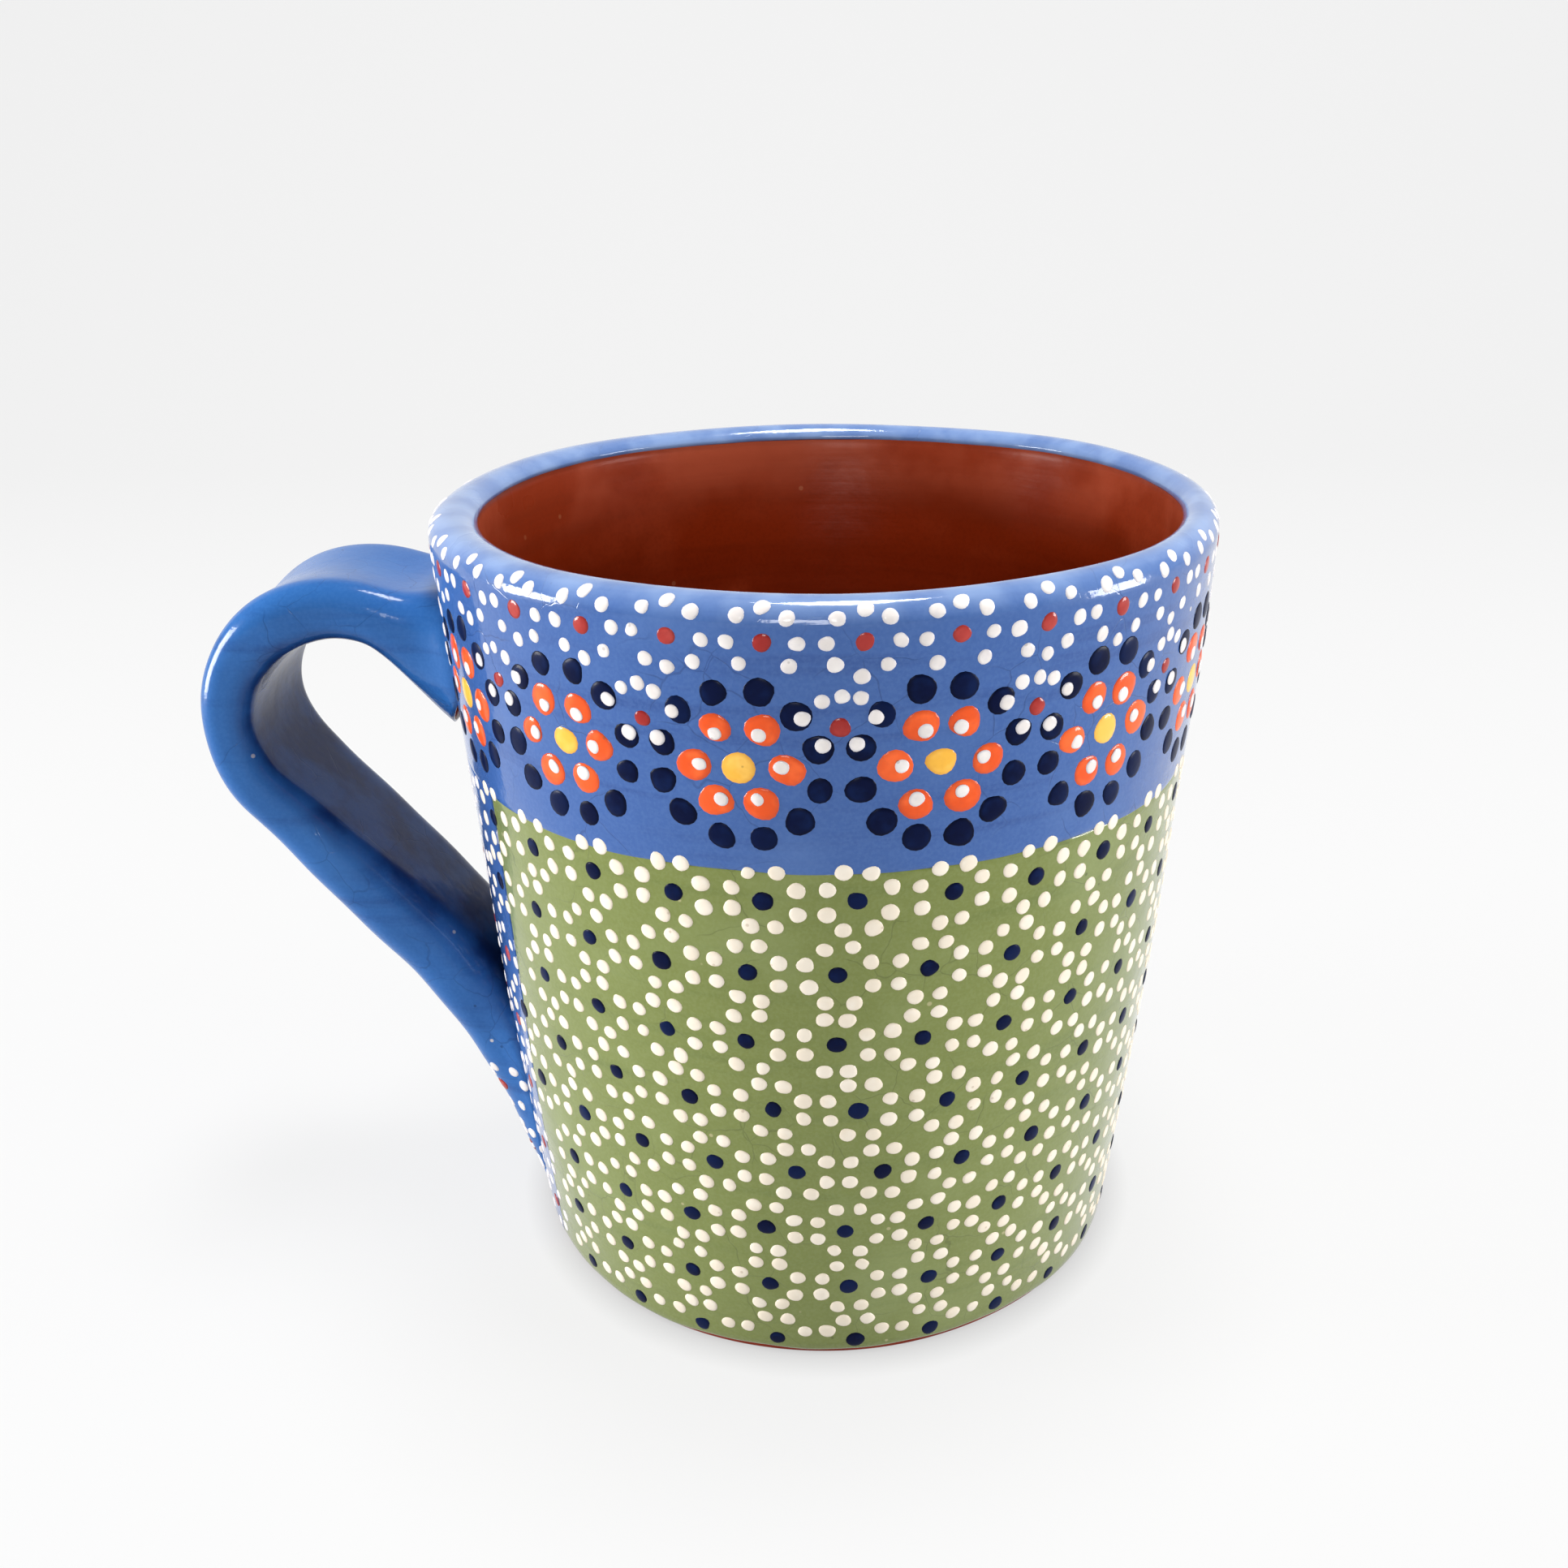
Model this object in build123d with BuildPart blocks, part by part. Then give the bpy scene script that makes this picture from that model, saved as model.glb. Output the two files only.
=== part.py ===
from build123d import *
import math
import os
import random

# A tapered clay mug with a strap handle, coats of coloured slip and raised slip dots.
# Frame: +Z up, origin at the centre of the flat foot, handle along -X. Millimetres and degrees.

# Finished sizes over the slip
height = 93.5
rim_diameter = 89.0
foot_diameter = 75.4
wall_bow_radius = 1600.0

# Clay cup
rim_wall = 4.3
foot_wall = 6.3
floor_thickness = 6.5
floor_corner_radius = 9.0
foot_edge_radius = 0.8

# Slip coats: the blue one goes over the lip to an angle inside it
slip_thickness = 0.3
slip_foot_margin = 1.0
slip_lip_angle = 160.0
band_height = 27.9
panel_half_angle = 30.5

# Strap handle, along its middle line: the crown is the round bend at the top, the tip the wiped lower end
crown_gap = 11.6
crown_drop = 25.9
crown_radius = 14.3
root_rise = 26.0
root_depth = 4.0
tail_radius = 60.0
tail_steepness = 80.0
tip_length = 6.5
tip_level = 3.6
tip_depth = 1.5

# Strap sections: width and thickness, and the share of the thickness that is flat along the edges
root_width, root_thickness = 23.0, 19.6
neck_width, neck_thickness = 22.0, 7.0
crown_width, crown_thickness = 21.8, 7.4
bend_width, bend_thickness = 21.4, 5.9
strap_width, strap_thickness = 20.4, 7.8
heel_width, heel_thickness = 19.6, 9.2
tail_width, tail_thickness = 19.4, 8.6
lap_width, lap_thickness = 18.7, 5.2
tip_width, tip_thickness = 18.0, 2.4
strap_edge_flat = 0.16

# Dots: radius and height of the dome
navy_radius, navy_rise = 1.43, 0.5
petal_radius, petal_rise = 1.7, 0.52
eye_radius, eye_rise = 1.62, 0.48
highlight_radius, highlight_rise = 0.74, 0.32
red_radius, red_rise = 0.92, 0.38
band_white_radius, band_white_rise = 0.77, 0.32
lattice_navy_radius, lattice_navy_rise = 1.0, 0.45
lattice_white_radius, lattice_white_rise = 0.87, 0.38
dot_gap = 0.06
hand_wobble = 0.2

# Flower band: places around the rim, and drops below the lip's shoulder
band_places = 29
flowers = 13
first_flower_place = 2.5
flower_drop = 14.0
petals_per_flower = 6
petal_ring_radius = 4.5
highlight_shift = 0.6
highlight_swing = 35.0
navy_per_flower = 12
navy_ring_radius = 7.9
upper_reds = 31
first_upper_red = 2.8
upper_red_drop = 1.2
lower_red_drop = 9.8
whites_per_rosette = 8
red_rosette_radius = 3.3
white_nudge = 15.0
white_shift = 0.6

# Lattice on the green, and columns of rosettes on the panel behind the handle
lattice_drop = 3.1
lattice_pitch = 9.15
lattice_row_pitch = 8.58
lattice_rosette_radius = 3.47
lattice_row_turns = (-3.5, -6.0, 6.0, -5.9, -2.4, 5.4, 3.2, 4.2)
panel_edge_angle = 4.0
panel_column_angle = 13.0
panel_drop = 4.0
panel_row_pitch = 9.4

# Meridian of the clay: a bowed wall that runs tangent into a full-round lip
lip_radius = rim_wall / 2
lip_centre = Vector(rim_diameter / 2 - slip_thickness - lip_radius, height - slip_thickness - lip_radius)
foot_corner = Vector(foot_diameter / 2 - slip_thickness, 0)
floor_corner = Vector(foot_corner.X - foot_wall, floor_thickness)
band_bottom = height - band_height
span = lip_centre - foot_corner
along_span = span.normalized()
span_share = (wall_bow_radius**2 - (wall_bow_radius - lip_radius) ** 2 + span.length**2) / (2 * span.length)
span_offset = math.sqrt(wall_bow_radius**2 - span_share**2)
bow_centre = foot_corner + along_span * span_share + Vector(-along_span.Y, along_span.X) * span_offset
foot_angle = math.atan2(foot_corner.Y - bow_centre.Y, foot_corner.X - bow_centre.X)
shoulder_angle = math.atan2(lip_centre.Y - bow_centre.Y, lip_centre.X - bow_centre.X)
lip_top_angle = math.pi / 2
inner_lip_angle = shoulder_angle + math.pi
slip_end_angle = math.radians(slip_lip_angle)
shoulder_run = (wall_bow_radius + slip_thickness) * (shoulder_angle - foot_angle)


def unit(angle):
    """Unit vector at an angle in radians."""
    return Vector(math.cos(angle), math.sin(angle))


def wall_angle(level, cover=0.0):
    """Angle about the bow's centre of the wall at a height."""
    return math.asin((level - bow_centre.Y) / (wall_bow_radius + cover))


def wall_point(level, cover=0.0):
    """Point of the wall at a height, on the clay or on a cover over it."""
    return bow_centre + unit(wall_angle(level, cover)) * (wall_bow_radius + cover)


def lip_point(angle, cover=0.0):
    """Point of the round lip, on the clay or on a cover over it."""
    return lip_centre + unit(angle) * (lip_radius + cover)


def wall_arc(low, high, cover=0.0):
    """Arc of the wall between two heights."""
    middle = wall_point((low + high) / 2, cover)
    return ThreePointArc(wall_point(low, cover), middle, wall_point(high, cover))


def lip_arc(end_angle, cover=0.0):
    """Arc of the lip, from the outer wall to an angle."""
    middle = lip_point((shoulder_angle + end_angle) / 2, cover)
    return ThreePointArc(lip_point(shoulder_angle, cover), middle, lip_point(end_angle, cover))


shoulder = lip_point(shoulder_angle)
lip_top = lip_point(lip_top_angle)

# Cup: wall and floor in one piece of clay
with BuildPart() as cup_body:
    with BuildSketch(Plane.XZ) as clay_section:
        with BuildLine():
            wall_arc(0, shoulder.Y)
            lip_arc(inner_lip_angle)
            Polyline(lip_point(inner_lip_angle), floor_corner, (0, floor_thickness), (0, 0), foot_corner)
        make_face()
        fillet(clay_section.vertices().sort_by_distance(floor_corner)[0], floor_corner_radius)
        fillet(clay_section.vertices().sort_by_distance(foot_corner)[0], foot_edge_radius)
    revolve(axis=Axis.Z)

# Filled cup, which trims the ends of the handle to the clay wall
with BuildPart() as cup_envelope:
    with BuildSketch(Plane.XZ):
        with BuildLine():
            wall_arc(0, shoulder.Y)
            lip_arc(lip_top_angle)
            Polyline(lip_top, (0, lip_top.Y), (0, 0), foot_corner)
        make_face()
    revolve(axis=Axis.Z)

# Middle line of the strap, in the plane of the handle: x grows towards the cup, y is up
crown_centre = Vector(-rim_diameter / 2 - crown_gap, height - crown_drop)
root_turn = math.radians(90 - root_rise)
root_heading = Vector(-math.sin(root_turn), math.cos(root_turn))
crown_start = crown_centre + unit(root_turn) * crown_radius
root_reach = -crown_start.X - wall_point(crown_start.Y).X + root_depth
root_start = crown_start - root_heading * (root_reach / math.sin(root_turn))
tip_heading = unit(math.radians(-tail_steepness))
tip_end = Vector(tip_depth - wall_point(tip_level).X, tip_level)
tip_start = tip_end - tip_heading * tip_length
tail_centre = tip_start + Vector(tip_heading.Y, -tip_heading.X) * tail_radius
between = tail_centre - crown_centre
fall_turn = math.atan2(between.Y, between.X) + math.asin((crown_radius + tail_radius) / between.length)
fall_side = Vector(-math.sin(fall_turn), math.cos(fall_turn))
fall_start = crown_centre - fall_side * crown_radius
fall_end = tail_centre + fall_side * tail_radius
with BuildLine():
    root_line = Line(root_start, crown_start)
    crown_arc = JernArc(crown_start, root_heading, crown_radius, math.degrees(fall_turn) + 180 + root_rise)
    fall_line = Line(fall_start, fall_end)
    tail_arc = JernArc(fall_end, unit(fall_turn), tail_radius, -tail_steepness - math.degrees(fall_turn))
    tip_line = Line(tip_start, tip_end)

# Sections of the strap: a line of its middle line, the place along it, width and thickness
strap_sections = [
    (root_line, 0.0, root_width, root_thickness),
    (crown_arc, 0.0, neck_width, neck_thickness),
    (crown_arc, 0.35, crown_width, crown_thickness),
    (crown_arc, 0.75, bend_width, bend_thickness),
    (fall_line, 0.35, strap_width, strap_thickness),
    (fall_line, 0.85, heel_width, heel_thickness),
    (tail_arc, 0.6, tail_width, tail_thickness),
    (tip_line, 0.0, lap_width, lap_thickness),
    (tip_line, 1.0, tip_width, tip_thickness),
]


def strap_plane(line, place):
    """Plane across the strap, with the strap's width along the plane's x."""
    point = line @ place
    heading = line % place
    return Plane((point.X, 0, point.Y), x_dir=(0, 1, 0), z_dir=(heading.X, 0, heading.Y))


def strap_solid(inset):
    """The whole strap, or what is left of it under a coat as thick as the inset."""
    with BuildPart() as strap:
        for line, place, width, thickness in strap_sections:
            with BuildSketch(strap_plane(line, place)):
                depth = thickness - 2 * inset
                RectangleRounded(width - 2 * inset, depth, depth * (1 - strap_edge_flat) / 2)
        loft()
    return strap.part


strap_outside = strap_solid(0)
strap_inside = strap_solid(slip_thickness)

# Handle: the clay strap, joined to the wall at its root and its tail
with BuildPart() as handle:
    add(strap_inside)
    add(cup_envelope.part, mode=Mode.SUBTRACT)

# Blue coat round the strap
with BuildPart() as handle_slip:
    add(strap_outside)
    add(cup_envelope.part, mode=Mode.SUBTRACT)
    add(handle.part, mode=Mode.SUBTRACT)

# Blue band from inside the lip down to the green
with BuildPart() as rim_band_slip:
    with BuildSketch(Plane.XZ):
        with BuildLine():
            wall_arc(band_bottom, shoulder.Y)
            lip_arc(slip_end_angle)
            Line(lip_point(slip_end_angle), lip_point(slip_end_angle, slip_thickness))
            lip_arc(slip_end_angle, slip_thickness)
            wall_arc(band_bottom, lip_point(shoulder_angle, slip_thickness).Y, slip_thickness)
            Line(wall_point(band_bottom), wall_point(band_bottom, slip_thickness))
        make_face()
    revolve(axis=Axis.Z)
    add(strap_outside, mode=Mode.SUBTRACT)


def meridian_plane(around):
    """Half plane through the axis, turned from the handle by an angle."""
    out = unit(math.radians(180 + around))
    return Plane((0, 0, 0), x_dir=out, z_dir=(out.Y, -out.X, 0))


def lower_coat(start, sweep):
    """Coat on the wall below the band, from one angle round to another."""
    with BuildPart() as coat:
        with BuildSketch(meridian_plane(start)):
            with BuildLine():
                wall_arc(slip_foot_margin, band_bottom)
                Line(wall_point(band_bottom), wall_point(band_bottom, slip_thickness))
                wall_arc(slip_foot_margin, band_bottom, slip_thickness)
                Line(wall_point(slip_foot_margin), wall_point(slip_foot_margin, slip_thickness))
            make_face()
        revolve(axis=Axis.Z, revolution_arc=sweep)
        add(strap_outside, mode=Mode.SUBTRACT)
    return coat.part


green_sweep = 360 - 2 * panel_half_angle
green_slip = lower_coat(panel_half_angle, green_sweep)
handle_panel_slip = lower_coat(-panel_half_angle, 2 * panel_half_angle)


def surface(run):
    """Point of the slip's face and its tilt, at a distance up the wall from the foot."""
    if run <= shoulder_run:
        tilt = foot_angle + run / (wall_bow_radius + slip_thickness)
        return bow_centre + unit(tilt) * (wall_bow_radius + slip_thickness), tilt
    tilt = shoulder_angle + (run - shoulder_run) / (lip_radius + slip_thickness)
    return lip_point(tilt, slip_thickness), tilt


def beside(spot, right, up):
    """Spot on the wall, as an angle round from the handle and a run, moved to the right and up."""
    around, run = spot
    point, tilt = surface(run + up)
    return around + math.degrees(right / point.X), run + up


def ring(spot, radius, count, phase=0.0):
    """Spots evenly spaced on a ring about a spot."""
    turns = [math.radians(phase + 360 * step / count) for step in range(count)]
    return [beside(spot, radius * math.cos(turn), radius * math.sin(turn)) for turn in turns]


def rings(spots, radius, count, phase=0.0):
    """Rings about all of the spots."""
    return [dot for spot in spots for dot in ring(spot, radius, count, phase)]


def seat(spot):
    """Place of a dot on the slip's face: z straight out of the wall, x to the right."""
    around, run = spot
    point, tilt = surface(run)
    out = unit(math.radians(180 + around))
    origin = out * point.X + Vector(0, 0, point.Y)
    outward = out * math.cos(tilt) + Vector(0, 0, math.sin(tilt))
    return Location(Plane(origin, x_dir=(-out.Y, out.X, 0), z_dir=outward))


hand = random.Random(band_places)
taken = []


def wobbled(spot):
    """Spot as a hand sets it, a little off."""
    return beside(spot, hand.uniform(-hand_wobble, hand_wobble), hand.uniform(-hand_wobble, hand_wobble))


def has_room(place, radius):
    """Whether a dot keeps clear of the dots before it and of the handle."""
    middle = tuple(place.position)
    if any(math.dist(middle, other) < radius + reach + dot_gap for other, reach in taken):
        return False
    beside_handle = middle[0] < 0 and abs(middle[1]) < root_width
    return not beside_handle or strap_outside.distance_to(Vertex(*middle)) > radius + dot_gap


def set_dots(spots, radius):
    """Places of the dots that have room, in the order they are set."""
    places = []
    for spot in spots:
        place = seat(wobbled(spot))
        if spot[1] > slip_foot_margin + radius and has_room(place, radius):
            taken.append((tuple(place.position), radius))
            places.append(place)
    return places


def on_dome(place, radius, rise, shift=0.0, turn=0.0):
    """Place on the face of a dome, off its middle by a shift at a turn."""
    ball = (radius**2 + rise**2) / (2 * rise)
    lean = math.asin(shift / ball)
    outward = unit(turn) * math.sin(lean) + Vector(0, 0, math.cos(lean))
    return place * Location(Plane(outward * ball - Vector(0, 0, ball - rise), z_dir=outward))


def dome(radius, rise):
    """A dot: a low dome on a flat base that touches the slip."""
    with BuildPart() as dot:
        with BuildSketch(Plane.XZ):
            with BuildLine():
                TangentArc((0, rise), (radius, 0), tangent=(1, 0))
                Polyline((radius, 0), (0, 0), (0, rise))
            make_face()
        revolve(axis=Axis.Z)
    return dot.part


def dot_group(places, radius, rise):
    """All dots of one kind, as separate domes."""
    dot = dome(radius, rise)
    with BuildPart() as dots:
        with Locations(*places):
            add(dot, clean=False)
    return dots.part


# Flowers: an eye, petals round it with a highlight on each, and a ring of navy dots
place_angle = 360 / band_places
flower_run = shoulder_run - flower_drop
flower_spots = [((first_flower_place + 2 * step) * place_angle, flower_run) for step in range(flowers)]
eye_places = set_dots(flower_spots, eye_radius)
petal_places = set_dots(rings(flower_spots, petal_ring_radius, petals_per_flower), petal_radius)
navy_phase = 180 / navy_per_flower
navy_places = set_dots(rings(flower_spots, navy_ring_radius, navy_per_flower, navy_phase), navy_radius)
highlight_places = []
for petal in petal_places:
    eye = min(eye_places, key=lambda place: math.dist(place.position, petal.position))
    to_eye = (petal.inverse() * eye).position
    swing = math.radians(hand.uniform(-highlight_swing, highlight_swing))
    eye_turn = math.atan2(to_eye.Y, to_eye.X) + swing
    highlight_places.append(on_dome(petal, petal_radius, petal_rise, highlight_shift, eye_turn))

# Red dots: a row under the lip and a row between the flowers, each dot in a ring of white ones
upper_red_angles = [first_upper_red + 360 * step / upper_reds for step in range(upper_reds)]
upper_red_spots = [(around, shoulder_run - upper_red_drop) for around in upper_red_angles]
lower_red_places = [first_flower_place - 1 + 2 * step for step in range(flowers + 1)]
lower_red_spots = [(place * place_angle, shoulder_run - lower_red_drop) for place in lower_red_places]
band_red_places = set_dots(upper_red_spots + lower_red_spots, red_radius)
band_white_places = set_dots(rings(upper_red_spots, red_rosette_radius, whites_per_rosette), band_white_radius)
bare_navy = list(navy_places)


def squeezed(spots):
    """Place of a white dot on the first of some spots that has room, as a list, empty if none has."""
    for spot in spots:
        places = set_dots([spot], band_white_radius)
        if places:
            return places
    return []


def on_navy(spot, red_spot):
    """Place of a white dot on the bare navy dot under it, towards its red dot, as a list, empty if none is."""
    middle = seat(spot).position
    navy = min(bare_navy, key=lambda place: math.dist(place.position, middle))
    to_red = (navy.inverse() * seat(red_spot)).position
    place = on_dome(navy, navy_radius, navy_rise, white_shift, math.atan2(to_red.Y, to_red.X))
    room = 2 * band_white_radius + dot_gap
    crowded = any(math.dist(place.position, white.position) < room for white in band_white_places)
    if crowded or math.dist(navy.position, middle) > navy_radius + band_white_radius:
        return []
    bare_navy.remove(navy)
    taken.append((tuple(place.position), band_white_radius))
    return [place]


# White dots between the flowers squeeze in among the navy ones, or else sit on them
for red_spot in lower_red_spots:
    for step in range(whites_per_rosette):
        nudges = (0.0, white_nudge, -white_nudge)
        spots = [ring(red_spot, red_rosette_radius, whites_per_rosette, nudge)[step] for nudge in nudges]
        band_white_places += squeezed(spots) or on_navy(spots[0], red_spot)

# Lattice on the green: rows of navy dots, each in a ring of white ones
rosette_phase = 180 / whites_per_rosette
band_bottom_run = (wall_bow_radius + slip_thickness) * (wall_angle(band_bottom, slip_thickness) - foot_angle)
lattice_top = band_bottom_run - lattice_drop
lattice_spots = []
for row in range(int((lattice_top - slip_foot_margin) / lattice_row_pitch) + 1):
    row_run = lattice_top - row * lattice_row_pitch
    columns = round(math.radians(green_sweep) * surface(row_run)[0].X / lattice_pitch)
    row_start = panel_half_angle + lattice_row_turns[row % len(lattice_row_turns)]
    for column in range(columns):
        lattice_spots.append((row_start + (column + 0.5) * green_sweep / columns, row_run))
lattice_navy_places = set_dots(lattice_spots, lattice_navy_radius)
lattice_white_spots = rings(lattice_spots, lattice_rosette_radius, whites_per_rosette, rosette_phase)
lattice_white_places = set_dots(lattice_white_spots, lattice_white_radius)

# Panel behind the handle: columns of red dots, each in a ring of white ones
outer_column = panel_half_angle - panel_edge_angle
inner_column = outer_column - panel_column_angle
panel_top = band_bottom_run - panel_drop
panel_spots = []
for around in (-outer_column, -inner_column, inner_column, outer_column):
    for row in range(int((panel_top - slip_foot_margin) / panel_row_pitch) + 1):
        panel_spots.append((around, panel_top - row * panel_row_pitch))
panel_red_places = set_dots(panel_spots, red_radius)
panel_white_places = set_dots(rings(panel_spots, red_rosette_radius, whites_per_rosette), band_white_radius)

# One file for each sub-part
parts = {
    "cup_body": cup_body.part,
    "handle": handle.part,
    "handle_slip": handle_slip.part,
    "rim_band_slip": rim_band_slip.part,
    "green_slip": green_slip,
    "handle_panel_slip": handle_panel_slip,
    "flower_eyes": dot_group(eye_places, eye_radius, eye_rise),
    "flower_petals": dot_group(petal_places, petal_radius, petal_rise),
    "petal_highlights": dot_group(highlight_places, highlight_radius, highlight_rise),
    "flower_ring_dots": dot_group(navy_places, navy_radius, navy_rise),
    "band_red_dots": dot_group(band_red_places, red_radius, red_rise),
    "band_white_dots": dot_group(band_white_places, band_white_radius, band_white_rise),
    "lattice_navy_dots": dot_group(lattice_navy_places, lattice_navy_radius, lattice_navy_rise),
    "lattice_white_dots": dot_group(lattice_white_places, lattice_white_radius, lattice_white_rise),
    "panel_red_dots": dot_group(panel_red_places, red_radius, red_rise),
    "panel_white_dots": dot_group(panel_white_places, band_white_radius, band_white_rise),
}
os.makedirs("parts", exist_ok=True)
for name, piece in parts.items():
    piece.label = name
    export_step(piece, f"parts/{name}.step")
    print(name, len(piece.solids()), "solids", round(piece.volume, 1), "mm3")
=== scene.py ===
"""Studio scene of the handled clay mug: thrown clay, brushed slip coats and hand-set slip dots."""

import math

import bpy
import numpy as np
from mathutils import Matrix, Vector


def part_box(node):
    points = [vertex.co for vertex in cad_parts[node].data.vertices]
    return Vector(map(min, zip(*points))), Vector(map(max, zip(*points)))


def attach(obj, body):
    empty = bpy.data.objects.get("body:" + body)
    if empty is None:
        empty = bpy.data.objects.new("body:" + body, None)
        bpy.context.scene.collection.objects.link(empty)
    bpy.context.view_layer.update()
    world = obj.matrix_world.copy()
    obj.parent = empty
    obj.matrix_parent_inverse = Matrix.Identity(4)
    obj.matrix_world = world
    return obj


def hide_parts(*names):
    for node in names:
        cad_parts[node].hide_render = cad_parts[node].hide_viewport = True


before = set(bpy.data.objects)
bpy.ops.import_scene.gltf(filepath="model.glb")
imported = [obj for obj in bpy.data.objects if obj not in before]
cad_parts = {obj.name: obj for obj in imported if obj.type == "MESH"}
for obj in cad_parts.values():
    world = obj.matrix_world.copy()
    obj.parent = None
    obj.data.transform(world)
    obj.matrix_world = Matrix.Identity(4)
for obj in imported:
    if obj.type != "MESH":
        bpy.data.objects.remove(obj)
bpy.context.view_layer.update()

# Lengths are in millimetres until a mesh is made
MM = 0.001

# Camera, fitted to the photograph, whose frame is PHOTO_SIZE pixels square
PHOTO_SIZE = 1932
FOCAL_PIXELS = 1807.8
SENSOR_WIDTH = 36.0
CAMERA_PLACE = (2.8, -168.7, 128.95)
CAMERA_TURN = 2.6
CAMERA_DIP = 23.22
CAMERA_ROLL = -1.0
CAMERA_NEAR = 10.0

# Clay cup, whose bore lies a little off the middle of its outside
SLIP = 0.3
FOOT_RADIUS = 37.4
LIP_RADIUS = 2.15
LIP_TURN = 184.0
LIP_STEPS = 60
SLIP_LIP_ANGLE = 160.0
BORE_SHIFT = 0.8
WALL_SAG = 0.65
WALL_STEPS = 160
FOOT_EDGE = 0.8
FOOT_EDGE_END = -5.0
FOOT_EDGE_STEPS = 8
FOOT_SHARES = (0.0, 0.3, 0.6, 0.85)
FOOT_WALL = 6.3
OUTSIDE_STEPS = 90
INSIDE_STEPS = 70
FLOOR_LEVEL = 6.5
FLOOR_CORNER = 9.0
FLOOR_CORNER_SHIFT = 1.0
FLOOR_CORNER_STEPS = 14
FLOOR_SHARES = (0.8, 0.6, 0.4, 0.2, 0.0)
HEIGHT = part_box("rim_band_slip")[1][2] / MM
RIM_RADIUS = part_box("rim_band_slip")[1][0] / MM
BAND_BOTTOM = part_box("rim_band_slip")[0][2] / MM
SLIP_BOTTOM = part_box("green_slip")[0][2] / MM
TURN_STEPS = 360

# Panel behind the handle, in degrees: its edges lean outwards towards the top and lie over the green
PANEL_HALF_ANGLE = 30.5
PANEL_LEAN = 3.0
PANEL_OVERLAP = 0.7

# Edges of a slip coat: length and fullness of the taper, thickness at its end, and reach of the waves
COAT_TAPER = 0.45
COAT_SHOULDER = 0.7
COAT_END_THICKNESS = 0.02
COAT_WAVE_REACH = 4.0

# Sink of a coat's back in the clay, laps of the coats over their neighbours, and their lifts above them
COAT_SINK = 0.1
FOOT_LAP = 0.1
BAND_LAP = 0.25
UNDER_LAP = 0.3
BAND_LIFT = 0.02
PANEL_LIFT = 0.015

# Shares of the edge waves that the coats have, and rows and columns of their points
BAND_WAVE = 1.0
BAND_LIP_WAVE = 0.35
FOOT_WAVE = 0.8
BAND_STEPS = 70
LOWER_STEPS = 80
GREEN_COLUMNS = 300
PANEL_COLUMNS = 90

# Strap handle, along its middle line in the plane of the handle
CROWN_GAP = 11.6
CROWN_DROP = 25.9
CROWN_RADIUS = 14.3
ROOT_RISE = 26.0
ROOT_DEPTH = 4.0
TAIL_RADIUS = 60.0
TAIL_STEEPNESS = 80.0
TIP_LENGTH = 6.5
TIP_LEVEL = 3.6
TIP_DEPTH = 1.5

# Points on the strap's root, crown, fall, tail and tip, and where on the middle three its sizes are set
ROOT_STEPS = 16
CROWN_STEPS = 60
FALL_STEPS = 40
TAIL_STEPS = 30
TIP_STEPS = 10
CROWN_PLACES = (0.35, 0.75)
FALL_PLACES = (0.35, 0.85)
TAIL_PLACE = 0.6

# Steps along the strap in which its sizes are smoothed, and steps to each side that count
SMOOTH_STEPS = 400
SMOOTH_REACH = 15

# Hand-thrown unevenness of the wall: depth, waves round the cup, waves up the wall and start in radians
THROWN_WAVES = [(0.14, 2, 0.7, 0.4), (0.08, 3, 1.2, 2.1), (0.05, 5, 2.1, 4.0), (0.03, 9, 3.1, 1.2)]

# Waves of the lip and of the coats' edges: depth, waves round the cup and start
LIP_WAVES = [(0.5, 1, 0.0), (0.16, 2, 1.9), (0.1, 3, 0.3), (0.06, 7, 2.6)]
EDGE_WAVES = [(0.16, 4, 0.8), (0.12, 7, 2.0), (0.08, 13, 0.1), (0.05, 29, 1.4)]

# Share of the height above which the lip's waves lift the clay
LIP_WAVES_FROM = 0.6

# Throwing rings on the inside of the wall: depth, radians from lip to floor and start
INSIDE_RINGS = [(0.04, 31, 0), (0.02, 57, 1)]


def waves(angle, parts):
    """Sum of waves round the cup."""
    return sum(depth * np.sin(count * angle + start) for depth, count, start in parts)


def thrown(angle, level):
    """How far the wall stands out from a true round one, by the thrower's hand."""
    share = level / HEIGHT * 2 * math.pi
    return sum(
        depth * np.sin(count * angle + climb * share + start)
        for depth, count, climb, start in THROWN_WAVES
    )


def lip_lift(angle, level):
    """How far the uneven lip lifts the clay at a level."""
    near_lip = np.clip((level / HEIGHT - LIP_WAVES_FROM) / (1 - LIP_WAVES_FROM), 0, 1) ** 2
    return waves(angle, LIP_WAVES) * near_lip


def thrown_points(radius, angle, level):
    """Points of the uneven cup, from the radius, angle and level that they have on a true one."""
    outer = radius + thrown(angle, level)
    lifted = level + lip_lift(angle, level)
    outside = np.interp(level, RUN_LEVEL[:WALL_STEPS], RUN_RADIUS[:WALL_STEPS])
    inward = np.clip((outside - radius) / (2 * LIP_RADIUS), 0, 1) * np.clip(level / HEIGHT, 0, 1)
    return np.stack([outer * np.cos(angle) + BORE_SHIFT * inward, outer * np.sin(angle), lifted], axis=-1)


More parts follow.
